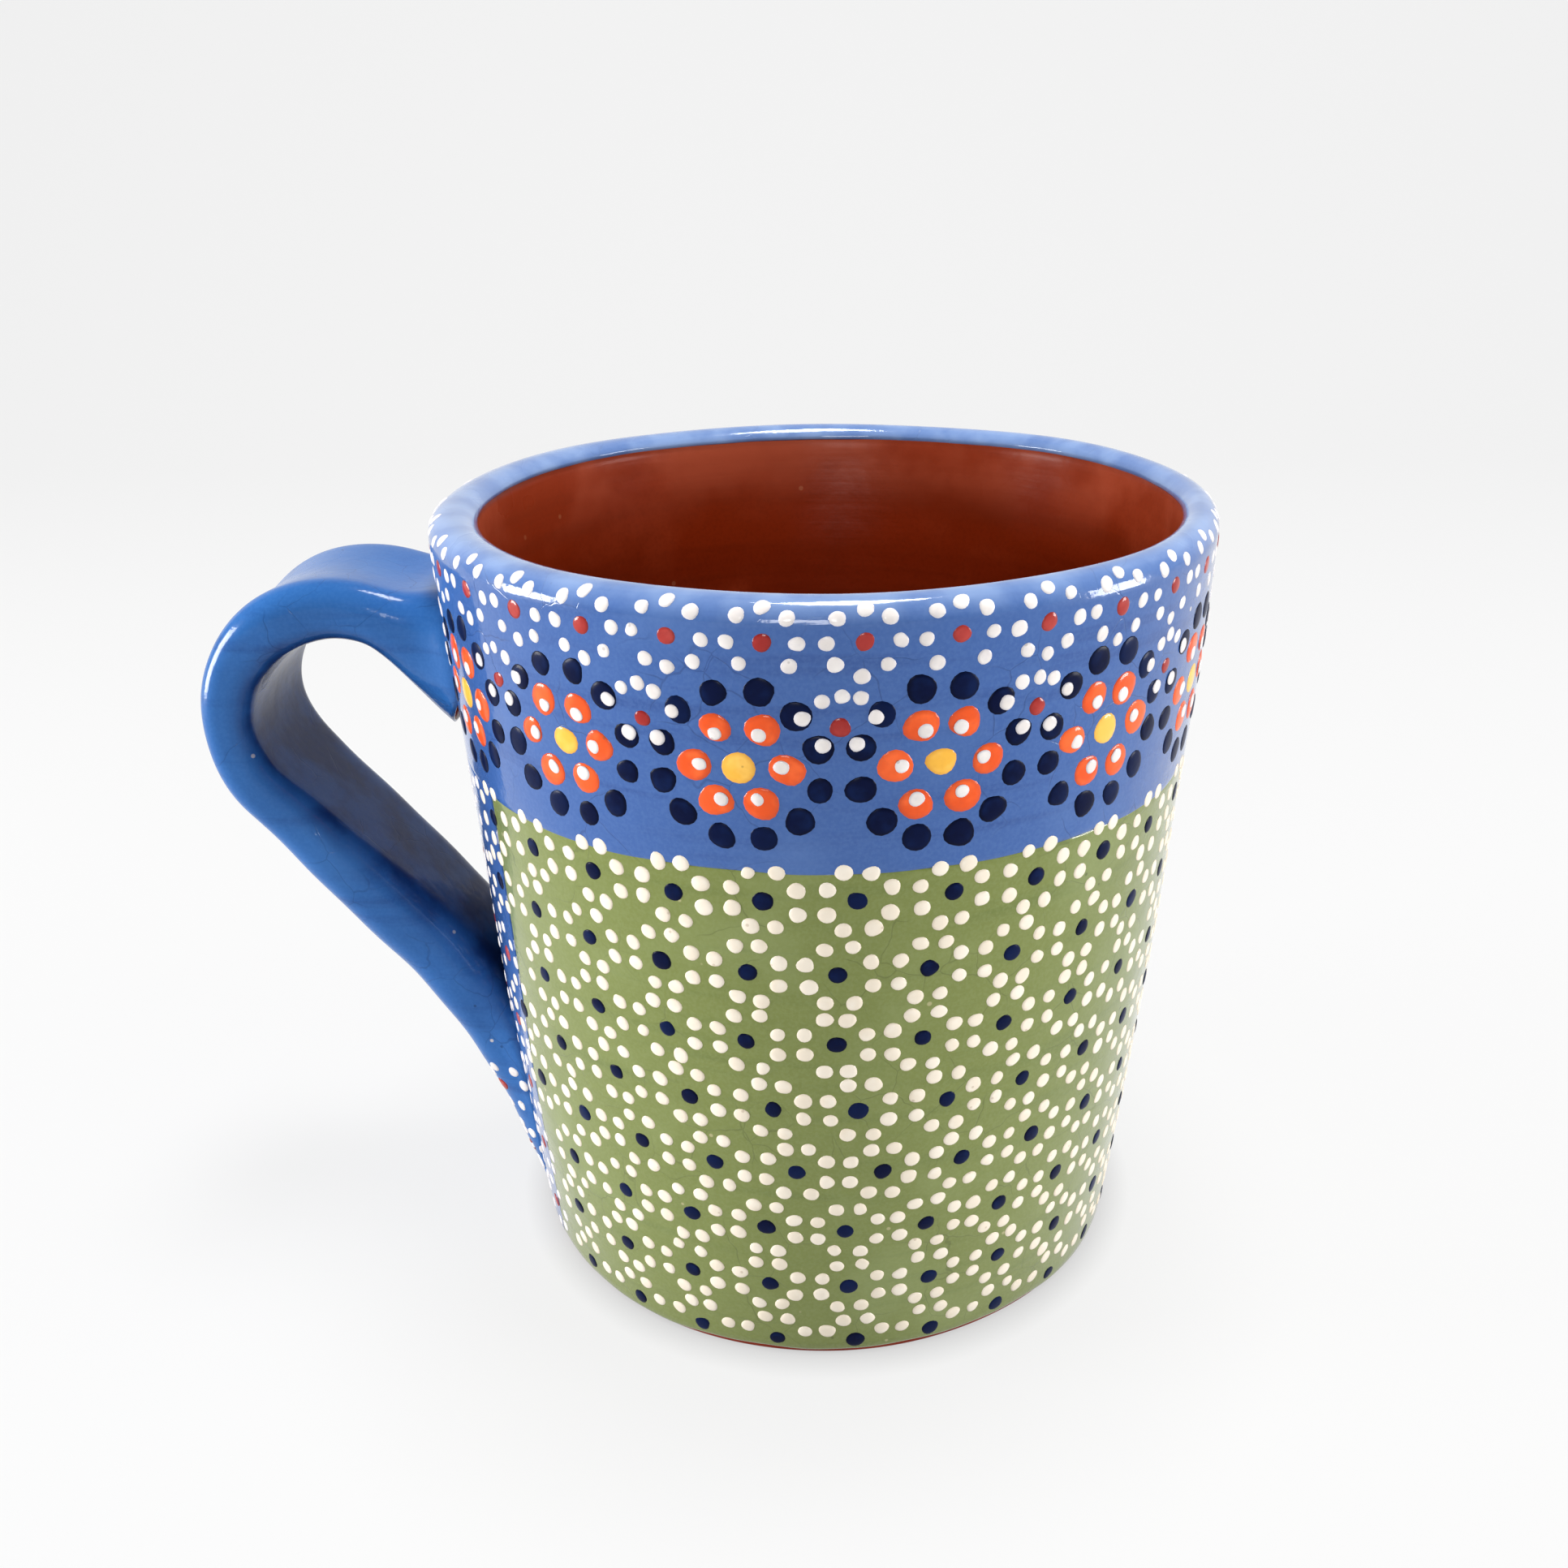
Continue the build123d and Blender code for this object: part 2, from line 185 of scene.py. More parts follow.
def meridian():
    """Clay's outside from foot to the lip's inner edge, as runs, radii, levels and outward directions."""
    lip_middle = np.array([RIM_RADIUS - SLIP - LIP_RADIUS, HEIGHT - SLIP - LIP_RADIUS])
    share = np.linspace(0, 1, WALL_STEPS)
    shoulder = lip_middle[0] + LIP_RADIUS
    bow = 4 * WALL_SAG * share * (1 - share)
    radius = FOOT_RADIUS + (shoulder - FOOT_RADIUS) * share + bow
    level = lip_middle[1] * share
    turn = np.linspace(0, math.radians(LIP_TURN), LIP_STEPS)[1:]
    radius = np.append(radius, lip_middle[0] + LIP_RADIUS * np.cos(turn))
    level = np.append(level, lip_middle[1] + LIP_RADIUS * np.sin(turn))
    steps = np.hypot(np.diff(radius), np.diff(level))
    run = np.append(0, np.cumsum(steps))
    slope_r = np.gradient(radius, run)
    slope_z = np.gradient(level, run)
    size = np.hypot(slope_r, slope_z)
    return run, radius, level, slope_z / size, -slope_r / size


RUN, RUN_RADIUS, RUN_LEVEL, RUN_OUT, RUN_UP = meridian()
SHOULDER_RUN = RUN[WALL_STEPS - 1]
COAT_END = SHOULDER_RUN + LIP_RADIUS * math.radians(SLIP_LIP_ANGLE)


def on_wall(run, cover=0.0):
    """Radius and level at a run along the outside, on the clay or on a cover over it."""
    radius = np.interp(run, RUN, RUN_RADIUS) + cover * np.interp(run, RUN, RUN_OUT)
    level = np.interp(run, RUN, RUN_LEVEL) + cover * np.interp(run, RUN, RUN_UP)
    return radius, level


def run_at(level):
    """Run along the outside up to a level of the wall."""
    return float(np.interp(level, RUN_LEVEL[:WALL_STEPS], RUN[:WALL_STEPS]))


def wall_radius(level):
    """Radius of the clay's outside at a level of the wall."""
    return float(np.interp(level, RUN_LEVEL[:WALL_STEPS], RUN_RADIUS[:WALL_STEPS]))


def grid_faces(rows, columns, close_rows=False, close_columns=False):
    """Quads of a grid of points, closed on itself where asked."""
    faces = []
    for row in range(rows if close_rows else rows - 1):
        for column in range(columns if close_columns else columns - 1):
            below, above = row * columns, (row + 1) % rows * columns
            beside = (column + 1) % columns
            faces.append((below + column, below + beside, above + beside, above + column))
    return faces


def new_piece(name, points, faces, material, node):
    """A smooth piece on the root body that stands for a CAD node."""
    mesh = bpy.data.meshes.new(name)
    mesh.from_pydata((np.asarray(points) * MM).tolist(), [], faces)
    mesh.validate()
    mesh.polygons.foreach_set("use_smooth", [True] * len(mesh.polygons))
    piece = bpy.data.objects.new(name, mesh)
    bpy.context.scene.collection.objects.link(piece)
    mesh.materials.append(material)
    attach(piece, "root")
    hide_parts(node)
    return piece


def point_values(piece, name, values):
    """A number at each point of a piece, for its material to read."""
    attribute = piece.data.attributes.new(name, "FLOAT", "POINT")
    attribute.data.foreach_set("value", np.asarray(values, dtype=np.float32).ravel())


# Materials

# Clear glaze over every paint, and the little gloss of the paint under it
GLAZE = 1.0
GLAZE_IOR = 1.4
GLOSS_UNDER_GLAZE = 0.05

# Places of the factor, the two colours and the result among a mix node's sockets
MIX_COLOUR_INPUTS = (0, 6, 7)
MIX_COLOUR_OUTPUT = 2


class Paint:
    """A glazed material under construction."""

    def __init__(self, name, roughness, glaze_roughness, glaze=GLAZE):
        self.material = bpy.data.materials.new(name)
        self.material.use_nodes = True
        self.nodes = self.material.node_tree.nodes
        self.links = self.material.node_tree.links
        self.shader = self.nodes["Principled BSDF"]
        self.shader.inputs["Roughness"].default_value = roughness
        self.shader.inputs["Specular IOR Level"].default_value = GLOSS_UNDER_GLAZE
        self.shader.inputs["Coat Weight"].default_value = glaze
        self.shader.inputs["Coat IOR"].default_value = GLAZE_IOR
        self.shader.inputs["Coat Roughness"].default_value = glaze_roughness
        self.place = self.nodes.new("ShaderNodeTexCoord").outputs["Object"]

    def put(self, socket, value):
        """Sets a socket to a constant or links it to an output."""
        if isinstance(value, bpy.types.NodeSocket):
            self.links.new(value, socket)
        else:
            socket.default_value = value

    def stretched(self, scale, source=None):
        """The place on the piece, in metres, stretched by a scale for each axis."""
        node = self.nodes.new("ShaderNodeMapping")
        self.put(node.inputs["Vector"], source or self.place)
        node.inputs["Scale"].default_value = scale
        return node.outputs["Vector"]

    def noise(self, scale, detail=2.0, vector=None, roughness=0.5):
        """Smooth noise, with so many features in a metre."""
        node = self.nodes.new("ShaderNodeTexNoise")
        self.put(node.inputs["Vector"], vector or self.place)
        node.inputs["Scale"].default_value = scale
        node.inputs["Detail"].default_value = detail
        node.inputs["Roughness"].default_value = roughness
        return node.outputs["Fac"]

    def cells(self, scale, feature, vector=None):
        """Voronoi cells, with so many in a metre."""
        node = self.nodes.new("ShaderNodeTexVoronoi")
        node.feature = feature
        self.put(node.inputs["Vector"], vector or self.place)
        node.inputs["Scale"].default_value = scale
        return node

    def level(self):
        """Height on the piece, in metres."""
        node = self.nodes.new("ShaderNodeSeparateXYZ")
        self.put(node.inputs["Vector"], self.place)
        return node.outputs["Z"]

    def maths(self, operation, first, second=0.0):
        """One sum on numbers."""
        node = self.nodes.new("ShaderNodeMath")
        node.operation = operation
        self.put(node.inputs[0], first)
        self.put(node.inputs[1], second)
        return node.outputs["Value"]

    def between(self, value, low, high, start=0.0, end=1.0):
        """A number taken smoothly from one range to another, and held at its ends."""
        node = self.nodes.new("ShaderNodeMapRange")
        node.interpolation_type = "SMOOTHSTEP"
        self.put(node.inputs["Value"], value)
        node.inputs["From Min"].default_value = low
        node.inputs["From Max"].default_value = high
        node.inputs["To Min"].default_value = start
        node.inputs["To Max"].default_value = end
        return node.outputs["Result"]

    def mix(self, factor, first, second):
        """A colour between two others."""
        node = self.nodes.new("ShaderNodeMix")
        node.data_type = "RGBA"
        factor_in, first_in, second_in = (node.inputs[place] for place in MIX_COLOUR_INPUTS)
        self.put(factor_in, factor)
        self.put(first_in, first)
        self.put(second_in, second)
        return node.outputs[MIX_COLOUR_OUTPUT]

    def blend(self, colour, other, mask, low, high, most):
        """A colour taken towards another, at most by a share, where a mask rises from low to high."""
        return self.mix(self.between(mask, low, high, end=most), colour, other)

    def tint(self, colour, other, mask, share):
        """A colour taken towards another by a share of a mask."""
        return self.mix(self.maths("MULTIPLY", mask, share), colour, other)

    def value_of(self, name):
        """A number kept at the points of the piece."""
        node = self.nodes.new("ShaderNodeAttribute")
        node.attribute_name = name
        return node.outputs["Fac"]

    def bump(self, height, depth, under=None):
        """Relief of a depth in millimetres."""
        node = self.nodes.new("ShaderNodeBump")
        node.inputs["Strength"].default_value = 1.0
        node.inputs["Distance"].default_value = depth * MM
        self.put(node.inputs["Height"], height)
        if under:
            self.put(node.inputs["Normal"], under)
        return node.outputs["Normal"]

    def finish(self, colour, roughness=None, normal=None):
        """Links the results to the shader."""
        self.put(self.shader.inputs["Base Color"], colour)
        if roughness:
            self.put(self.shader.inputs["Roughness"], roughness)
        if normal:
            self.put(self.shader.inputs["Normal"], normal)
            self.put(self.shader.inputs["Coat Normal"], normal)
        return self.material


def rgb(red, green, blue):
    """A colour with full cover."""
    return (red, green, blue, 1.0)


def scaled(colour, share):
    """A colour made darker or lighter."""
    return tuple(channel * share for channel in colour[:3]) + (1.0,)


# Colours of the slips, each with a deep and a pale shade where they vary, and of the specks in them
BLUE = rgb(0.038, 0.106, 0.330)
DEEP_BLUE = rgb(0.016, 0.057, 0.228)
PALE_BLUE = rgb(0.085, 0.175, 0.420)
# Painted sheen on the lip: paler blue where the glaze catches light, over slip that is also thinner there
LIP_SHEEN = rgb(0.190, 0.290, 0.520)
STRAP_BLUE = rgb(0.023, 0.114, 0.350)
DEEP_STRAP_BLUE = rgb(0.012, 0.062, 0.230)
PALE_STRAP_BLUE = rgb(0.046, 0.168, 0.440)
# Painted shade on the strap's inner face: a dark slate blue over slip that is also thinner there
SHADED_SLATE = rgb(0.008, 0.030, 0.125)
# Worn slip on the strap's far ridge, paler also as a painted highlight along that edge
RIDGE_WEAR_GLINT = rgb(0.200, 0.260, 0.420)
GREEN = rgb(0.170, 0.206, 0.048)
DEEP_GREEN = rgb(0.124, 0.162, 0.034)
PALE_GREEN = rgb(0.250, 0.300, 0.115)
GREEN_SPECK = rgb(0.50, 0.45, 0.25)
TERRACOTTA = rgb(0.230, 0.021, 0.003)
WARM_CLAY = rgb(0.34, 0.046, 0.014)
CLAY_SHEEN = rgb(0.420, 0.080, 0.036)
CLAY_SPECK = rgb(0.5, 0.2, 0.1)
NAVY = rgb(0.001, 0.004, 0.030)
PALE_NAVY = rgb(0.003, 0.012, 0.062)
ORANGE = rgb(0.780, 0.084, 0.009)
DEEP_ORANGE = rgb(0.62, 0.075, 0.020)
PALE_ORANGE = rgb(0.95, 0.150, 0.030)
ORANGE_SPECK = rgb(0.3, 0.1, 0.04)
YELLOW = rgb(0.880, 0.460, 0.052)
DEEP_YELLOW = rgb(0.78, 0.37, 0.05)
PALE_YELLOW = rgb(0.96, 0.58, 0.12)
YELLOW_SPECK = rgb(0.45, 0.22, 0.05)
RED = rgb(0.320, 0.018, 0.014)
DEEP_RED = rgb(0.22, 0.014, 0.014)
PALE_RED = rgb(0.46, 0.055, 0.045)
RED_SPECK = rgb(0.6, 0.3, 0.25)
CREAM = rgb(0.820, 0.730, 0.600)
DEEP_CREAM = rgb(0.80, 0.70, 0.56)
PALE_CREAM = rgb(0.88, 0.81, 0.70)
CREAM_SPECK = rgb(0.58, 0.47, 0.35)
COOL_WHITE = rgb(0.740, 0.690, 0.660)
DEEP_WHITE = rgb(0.60, 0.58, 0.62)
PALE_WHITE = rgb(0.85, 0.81, 0.79)
WHITE_SPECK = rgb(0.50, 0.46, 0.44)

# Levels between which a painted sheen lightens the clay inside the lip
CLAY_SHEEN_FROM = 80.0
CLAY_SHEEN_FULL = 93.5

# Solid share of a speck and of a crackle line, and how far and how often the crackle lines wander
SPECK_CORE = 0.6
CRACKLE_CORE = 0.3
CRACKLE_WANDER = 2.2
CRACKLE_WANDER_SCALE = 260.0


def speck_mask(paint, scale, size, share):
    """Spots of a size, as a share of the cell, in a share of the cells."""
    cells = paint.cells(scale, "F1")
    near = paint.between(cells.outputs["Distance"], size, size * SPECK_CORE)
    chosen = paint.maths("GREATER_THAN", cells.outputs["Color"], 1 - share)
    return paint.maths("MULTIPLY", near, chosen)


def crackle_mask(paint, scale, width):
    """Fine broken lines of a crazed glaze."""
    wander = paint.nodes.new("ShaderNodeTexNoise")
    paint.put(wander.inputs["Vector"], paint.place)
    wander.inputs["Scale"].default_value = CRACKLE_WANDER_SCALE
    drift = paint.nodes.new("ShaderNodeVectorMath")
    drift.operation = "MULTIPLY_ADD"
    paint.put(drift.inputs[0], wander.outputs["Color"])
    drift.inputs[1].default_value = [CRACKLE_WANDER * MM] * 3
    paint.put(drift.inputs[2], paint.place)
    edge = paint.cells(scale, "DISTANCE_TO_EDGE", drift.outputs["Vector"]).outputs["Distance"]
    line = paint.between(edge, width, width * CRACKLE_CORE)
    broken = paint.between(paint.noise(scale=110.0, detail=1.0), low=0.45, high=0.6)
    return paint.maths("MULTIPLY", line, broken)


def slip_material(name, base, dark, pale, speck, thin_slip_and_light=None, glaze=GLAZE):
    """Brushed slip under a crazed clear glaze, of other colours where it is thinner, which carries a painted
    sheen on the lip and painted shade on the strap's inside, and where it is worn, which carries a painted
    highlight on the strap's ridge.
    """
    paint = Paint(name, roughness=0.3, glaze_roughness=0.08, glaze=glaze)
    strokes = paint.stretched((26.0, 26.0, 430.0))
    brush = paint.noise(scale=1.0, detail=4.0, vector=strokes, roughness=0.6)
    cloud = paint.noise(scale=70.0, detail=3.0)
    grain = paint.noise(scale=2600.0)
    colour = paint.blend(base, dark, brush, low=0.5, high=0.75, most=0.7)
    colour = paint.blend(colour, pale, cloud, low=0.5, high=0.75, most=0.45)
    colour = paint.blend(colour, pale, grain, low=0.35, high=0.7, most=0.22)
    crackle = crackle_mask(paint, scale=150.0, width=0.012)
    colour = paint.tint(colour, scaled(dark, 0.5), crackle, share=0.35)
    specks = speck_mask(paint, scale=520.0, size=0.17, share=0.12)
    colour = paint.tint(colour, speck, specks, share=0.6)
    dark_specks = speck_mask(paint, scale=610.0, size=0.15, share=0.10)
    colour = paint.tint(colour, scaled(dark, 0.4), dark_specks, share=0.55)
    # Painted light over thinner slip: a sheen on the lip and shade on the strap's inner face; then worn slip
    # with a painted highlight on the strap's ridge
    if thin_slip_and_light:
        patchy = paint.between(paint.noise(scale=160.0, detail=3.0), low=0.35, high=0.65, start=0.45)
        colour = paint.tint(colour, thin_slip_and_light, paint.value_of("thin_slip_and_light"), share=patchy)
        ridge_patches = paint.between(paint.noise(scale=120.0, detail=3.0), low=0.3, high=0.65)
        wear_and_glint = paint.maths("MULTIPLY", paint.value_of("wear_and_glint"), ridge_patches)
        colour = paint.tint(colour, RIDGE_WEAR_GLINT, wear_and_glint, share=0.6)
    normal = paint.bump(paint.noise(scale=420.0, detail=3.0), depth=0.05)
    normal = paint.bump(brush, depth=0.06, under=normal)
    normal = paint.bump(paint.maths("MULTIPLY", crackle, -1.0), depth=0.01, under=normal)
    roughness = paint.between(cloud, low=0.3, high=0.7, start=0.24, end=0.36)
    return paint.finish(colour, roughness, normal)


def clay_material(name):
    """Fired red clay with throwing marks under a faint clear glaze, with a painted sheen that lightens it
    inside the lip.
    """
    paint = Paint(name, roughness=0.34, glaze_roughness=0.22, glaze=0.08)
    marks = paint.stretched((14.0, 14.0, 300.0))
    rings = paint.noise(scale=1.0, detail=4.0, vector=marks, roughness=0.6)
    cloud = paint.noise(scale=60.0, detail=4.0)
    patches = paint.noise(scale=45.0, detail=3.0)
    grain = paint.noise(scale=2200.0)
    colour = paint.blend(TERRACOTTA, scaled(TERRACOTTA, 0.7), rings, low=0.42, high=0.7, most=0.5)
    colour = paint.blend(colour, WARM_CLAY, cloud, low=0.48, high=0.7, most=0.55)
    colour = paint.blend(colour, scaled(TERRACOTTA, 0.62), patches, low=0.5, high=0.7, most=0.5)
    colour = paint.blend(colour, scaled(TERRACOTTA, 0.6), grain, low=0.4, high=0.75, most=0.25)
    # Painted sheen: the clay made paler in patches near the lip, where light falls inside the cup
    patchy = paint.between(paint.noise(scale=90.0, detail=3.0), low=0.35, high=0.65, start=0.25, end=0.9)
    near_lip = paint.between(paint.level(), CLAY_SHEEN_FROM * MM, CLAY_SHEEN_FULL * MM)
    colour = paint.tint(colour, CLAY_SHEEN, near_lip, share=patchy)
    specks = speck_mask(paint, scale=380.0, size=0.16, share=0.15)
    colour = paint.tint(colour, CLAY_SPECK, specks, share=0.3)
    normal = paint.bump(paint.noise(scale=300.0, detail=3.0), depth=0.06)
    normal = paint.bump(rings, depth=0.05, under=normal)
    roughness = paint.between(cloud, low=0.3, high=0.7, start=0.26, end=0.4)
    return paint.finish(colour, roughness, normal)


def dot_material(name, base, edge, pale, speck=None, glaze=0.6):
    """A slip dot under clear glaze: another shade at its edge, and a little unlike the next one."""
    paint = Paint(name, roughness=0.3, glaze_roughness=0.07, glaze=glaze)
    stroke = paint.noise(scale=420.0)
    grain = paint.noise(scale=1500.0, detail=3.0)
    colour = paint.blend(base, pale, stroke, low=0.42, high=0.72, most=0.8)
    colour = paint.blend(colour, edge, grain, low=0.45, high=0.75, most=0.3)
    colour = paint.blend(colour, edge, paint.value_of("rim"), low=0.62, high=1.0, most=0.85)
    colour = paint.blend(colour, pale, paint.value_of("tone"), low=0.5, high=1.0, most=0.5)
    if speck:
        specks = speck_mask(paint, scale=900.0, size=0.2, share=0.2)
        colour = paint.tint(colour, speck, specks, share=0.7)
    return paint.finish(colour, normal=paint.bump(paint.noise(scale=900.0), depth=0.03))


blue_paint = slip_material("blue_slip_brushed", BLUE, DEEP_BLUE, PALE_BLUE, CREAM)
band_paint = slip_material("blue_slip_band", BLUE, DEEP_BLUE, PALE_BLUE, CREAM, LIP_SHEEN)
strap_paint = slip_material(
    "blue_slip_strap", STRAP_BLUE, DEEP_STRAP_BLUE, PALE_STRAP_BLUE, CREAM, SHADED_SLATE, glaze=0.45
)
green_paint = slip_material("green_slip_brushed", GREEN, DEEP_GREEN, PALE_GREEN, GREEN_SPECK)
clay_paint = clay_material("terracotta_thrown")
navy_paint = dot_material("navy_slip_dots", NAVY, scaled(NAVY, 0.4), PALE_NAVY, glaze=0.04)
orange_paint = dot_material("orange_slip_dots", ORANGE, DEEP_ORANGE, PALE_ORANGE, ORANGE_SPECK)
yellow_paint = dot_material("yellow_slip_dots", YELLOW, DEEP_YELLOW, PALE_YELLOW, YELLOW_SPECK)
red_paint = dot_material("red_slip_dots", RED, DEEP_RED, PALE_RED, RED_SPECK)
cream_paint = dot_material("cream_slip_dots", CREAM, DEEP_CREAM, PALE_CREAM, CREAM_SPECK)
white_paint = dot_material("white_slip_dots", COOL_WHITE, DEEP_WHITE, PALE_WHITE, WHITE_SPECK)

# Clay cup
TURN = np.linspace(0, 2 * math.pi, TURN_STEPS, endpoint=False)


def lathe(rows):
    """Uneven surface of revolution through rows of radius and level, as points."""
    radius = np.array([row[0] for row in rows])[:, None] + 0 * TURN
    level = np.array([row[1] for row in rows])[:, None] + 0 * TURN
    return thrown_points(radius, TURN + 0 * radius, level)


def arc(middle_r, middle_z, radius, start, end, steps):
    """Points of an arc, in degrees from straight out."""
    turns = np.radians(np.linspace(start, end, steps))
    return [(middle_r + radius * math.cos(turn), middle_z + radius * math.sin(turn)) for turn in turns]


def clay_cup():
    """The thrown cup: foot, wall, lip, inside wall and floor, closed at the axis."""
    rows = [(share * (FOOT_RADIUS - FOOT_EDGE), 0.0) for share in FOOT_SHARES]
    rows += arc(FOOT_RADIUS - FOOT_EDGE, FOOT_EDGE, FOOT_EDGE, -90, FOOT_EDGE_END, FOOT_EDGE_STEPS)
    foot_rows = len(rows) - 1
    outside = np.linspace(run_at(2 * FOOT_EDGE), RUN[-1], OUTSIDE_STEPS)
    rows += [tuple(map(float, on_wall(run))) for run in outside]
    inner_top = rows[-1]
    corner_r = FOOT_RADIUS - FOOT_WALL
    lean = math.degrees(math.atan2(inner_top[0] - corner_r, inner_top[1] - FLOOR_LEVEL))
    bend_r = corner_r - FLOOR_CORNER + FLOOR_CORNER_SHIFT
    bend = arc(bend_r, FLOOR_LEVEL + FLOOR_CORNER, FLOOR_CORNER, -lean, -90, FLOOR_CORNER_STEPS)
    for share in np.linspace(0, 1, INSIDE_STEPS)[1:-1]:
        ring_depth = sum(depth * math.sin(share * turn + start) for depth, turn, start in INSIDE_RINGS)
        radius = inner_top[0] + (bend[0][0] - inner_top[0]) * share + ring_depth
        rows.append((radius, inner_top[1] + (bend[0][1] - inner_top[1]) * share))
    rows += bend
    rows += [(bend[-1][0] * share, FLOOR_LEVEL) for share in FLOOR_SHARES]
    points = lathe(rows)
    points[0] = points[0].mean(axis=0)
    points[-1] = points[-1].mean(axis=0)
    # The foot stays flat, so that the cup stands
    points[:foot_rows, :, 2] = np.array([row[1] for row in rows[:foot_rows]])[:, None]
    return points.reshape(-1, 3), grid_faces(len(rows), TURN_STEPS, close_columns=True)


points, faces = clay_cup()
new_piece("thrown_cup", points, faces, clay_paint, "cup_body")


def coat(rows, turn):
    """Points of a coat, from rows of run, cover and share of the edge's wave, and their angles."""
    run, cover, share = np.array(rows).T[:, :, None]
    radius, level = on_wall(run + share * waves(turn, EDGE_WAVES), cover)
    return thrown_points(radius, turn + 0 * radius, level)


def coat_rows(low, high, low_wave, high_wave, steps, cover=SLIP):
    """Rows of a coat: out over the lower edge, up the face, in over the upper edge, back along the clay."""
    runs = np.linspace(low + COAT_TAPER, high - COAT_TAPER, steps)
    fade_low = low_wave * np.clip(1 - (runs - low) / COAT_WAVE_REACH, 0, 1)
    fade_high = high_wave * np.clip(1 - (high - runs) / COAT_WAVE_REACH, 0, 1)
    shoulder = cover * COAT_SHOULDER
    rows = [(low, COAT_END_THICKNESS, low_wave), (low + COAT_TAPER / 3, shoulder, low_wave)]
    rows += [(run, cover, wave) for run, wave in zip(runs, fade_low + fade_high)]
    rows += [(high - COAT_TAPER / 3, shoulder, high_wave), (high, COAT_END_THICKNESS, high_wave)]
    back = (high, (2 * high + low) / 3, (high + 2 * low) / 3, low)
    rows += [(run, -COAT_SINK, 0.0) for run in back]
    return rows


def side_coat(rows, start, end, columns):
    """Points and faces of a coat that covers part of the way round, from start to end angles of its rows."""
    points = coat(rows, np.linspace(start, end, columns, axis=1))
    faces = grid_faces(len(rows), columns, close_rows=True)
    faces.append([row * columns for row in range(len(rows))][::-1])
    faces.append([row * columns + columns - 1 for row in range(len(rows))])
    return points.reshape(-1, 3), faces


band_run = run_at(BAND_BOTTOM)
slip_run = run_at(SLIP_BOTTOM) - FOOT_LAP
band_rows = coat_rows(band_run - BAND_LAP, COAT_END, BAND_WAVE, BAND_LIP_WAVE, BAND_STEPS, SLIP + BAND_LIFT)
points = coat(band_rows, TURN[None, :]).reshape(-1, 3)
faces = grid_faces(len(band_rows), TURN_STEPS, close_rows=True, close_columns=True)
band = new_piece("rim_band_coat", points, faces, band_paint, "rim_band_slip")
# The band's share of the lip, which carries the lip's painted sheen and its thinner slip
lip_share = [np.clip((row[0] - SHOULDER_RUN) / LIP_RADIUS, 0, 1) for row in band_rows]
point_values(band, "thin_slip_and_light", np.repeat(lip_share, TURN_STEPS))

green_rows = coat_rows(slip_run, band_run + UNDER_LAP, FOOT_WAVE, 0.0, LOWER_STEPS)
climb = np.array([row[0] for row in green_rows]) / band_run
panel_edge = np.radians(PANEL_HALF_ANGLE + PANEL_LEAN * (2 * climb - 1))
points, faces = side_coat(green_rows, panel_edge - math.pi, math.pi - panel_edge, GREEN_COLUMNS)
new_piece("green_coat", points, faces, green_paint, "green_slip")

panel_rows = coat_rows(slip_run, band_run + UNDER_LAP, FOOT_WAVE, 0.0, LOWER_STEPS, SLIP + PANEL_LIFT)
panel_edge = panel_edge + math.radians(PANEL_OVERLAP)
points, faces = side_coat(panel_rows, math.pi - panel_edge, math.pi + panel_edge, PANEL_COLUMNS)
new_piece("handle_panel_coat", points, faces, blue_paint, "handle_panel_slip")

# Strap handle


def unit(turn):
    """Unit vector at an angle in radians."""
    return np.array([math.cos(turn), math.sin(turn)])


def strap_line():
    """Middle line of the strap as points in its plane, x towards the cup and y up, with the joints' runs."""
    crown = np.array([-RIM_RADIUS - CROWN_GAP, HEIGHT - CROWN_DROP])
    root_turn = math.radians(90 - ROOT_RISE)
    root_heading = np.array([-math.sin(root_turn), math.cos(root_turn)])
    crown_start = crown + unit(root_turn) * CROWN_RADIUS
    reach = -crown_start[0] - wall_radius(crown_start[1]) + ROOT_DEPTH
    root_start = crown_start - root_heading * reach / math.sin(root_turn)
    tip_heading = unit(math.radians(-TAIL_STEEPNESS))
    tip_end = np.array([TIP_DEPTH - wall_radius(TIP_LEVEL), TIP_LEVEL])
    tip_start = tip_end - tip_heading * TIP_LENGTH
    tail = tip_start + np.array([tip_heading[1], -tip_heading[0]]) * TAIL_RADIUS
    between = tail - crown
    fall = math.atan2(between[1], between[0]) + math.asin((CROWN_RADIUS + TAIL_RADIUS) / np.hypot(*between))
    side = np.array([-math.sin(fall), math.cos(fall)])
    fall_start = crown - side * CROWN_RADIUS
    fall_end = tail + side * TAIL_RADIUS
    crown_turns = np.linspace(root_turn, fall + 1.5 * math.pi, CROWN_STEPS)
    tail_turns = np.linspace(fall + 0.5 * math.pi, math.radians(90 - TAIL_STEEPNESS), TAIL_STEPS)
    stretches = [
        np.linspace(root_start, crown_start, ROOT_STEPS),
        crown + CROWN_RADIUS * np.stack([np.cos(crown_turns), np.sin(crown_turns)], axis=1),
        np.linspace(fall_start, fall_end, FALL_STEPS),
        tail + TAIL_RADIUS * np.stack([np.cos(tail_turns), np.sin(tail_turns)], axis=1),
        np.linspace(tip_start, tip_end, TIP_STEPS),
    ]
    line = np.concatenate([stretches[0]] + [stretch[1:] for stretch in stretches[1:]])
    ends = np.cumsum([len(stretches[0]) - 1] + [len(stretch) - 1 for stretch in stretches[1:]])
    run = np.append(0, np.cumsum(np.hypot(*np.diff(line, axis=0).T)))
    return line, run, run[ends]


STRAP, STRAP_RUN, STRAP_ENDS = strap_line()


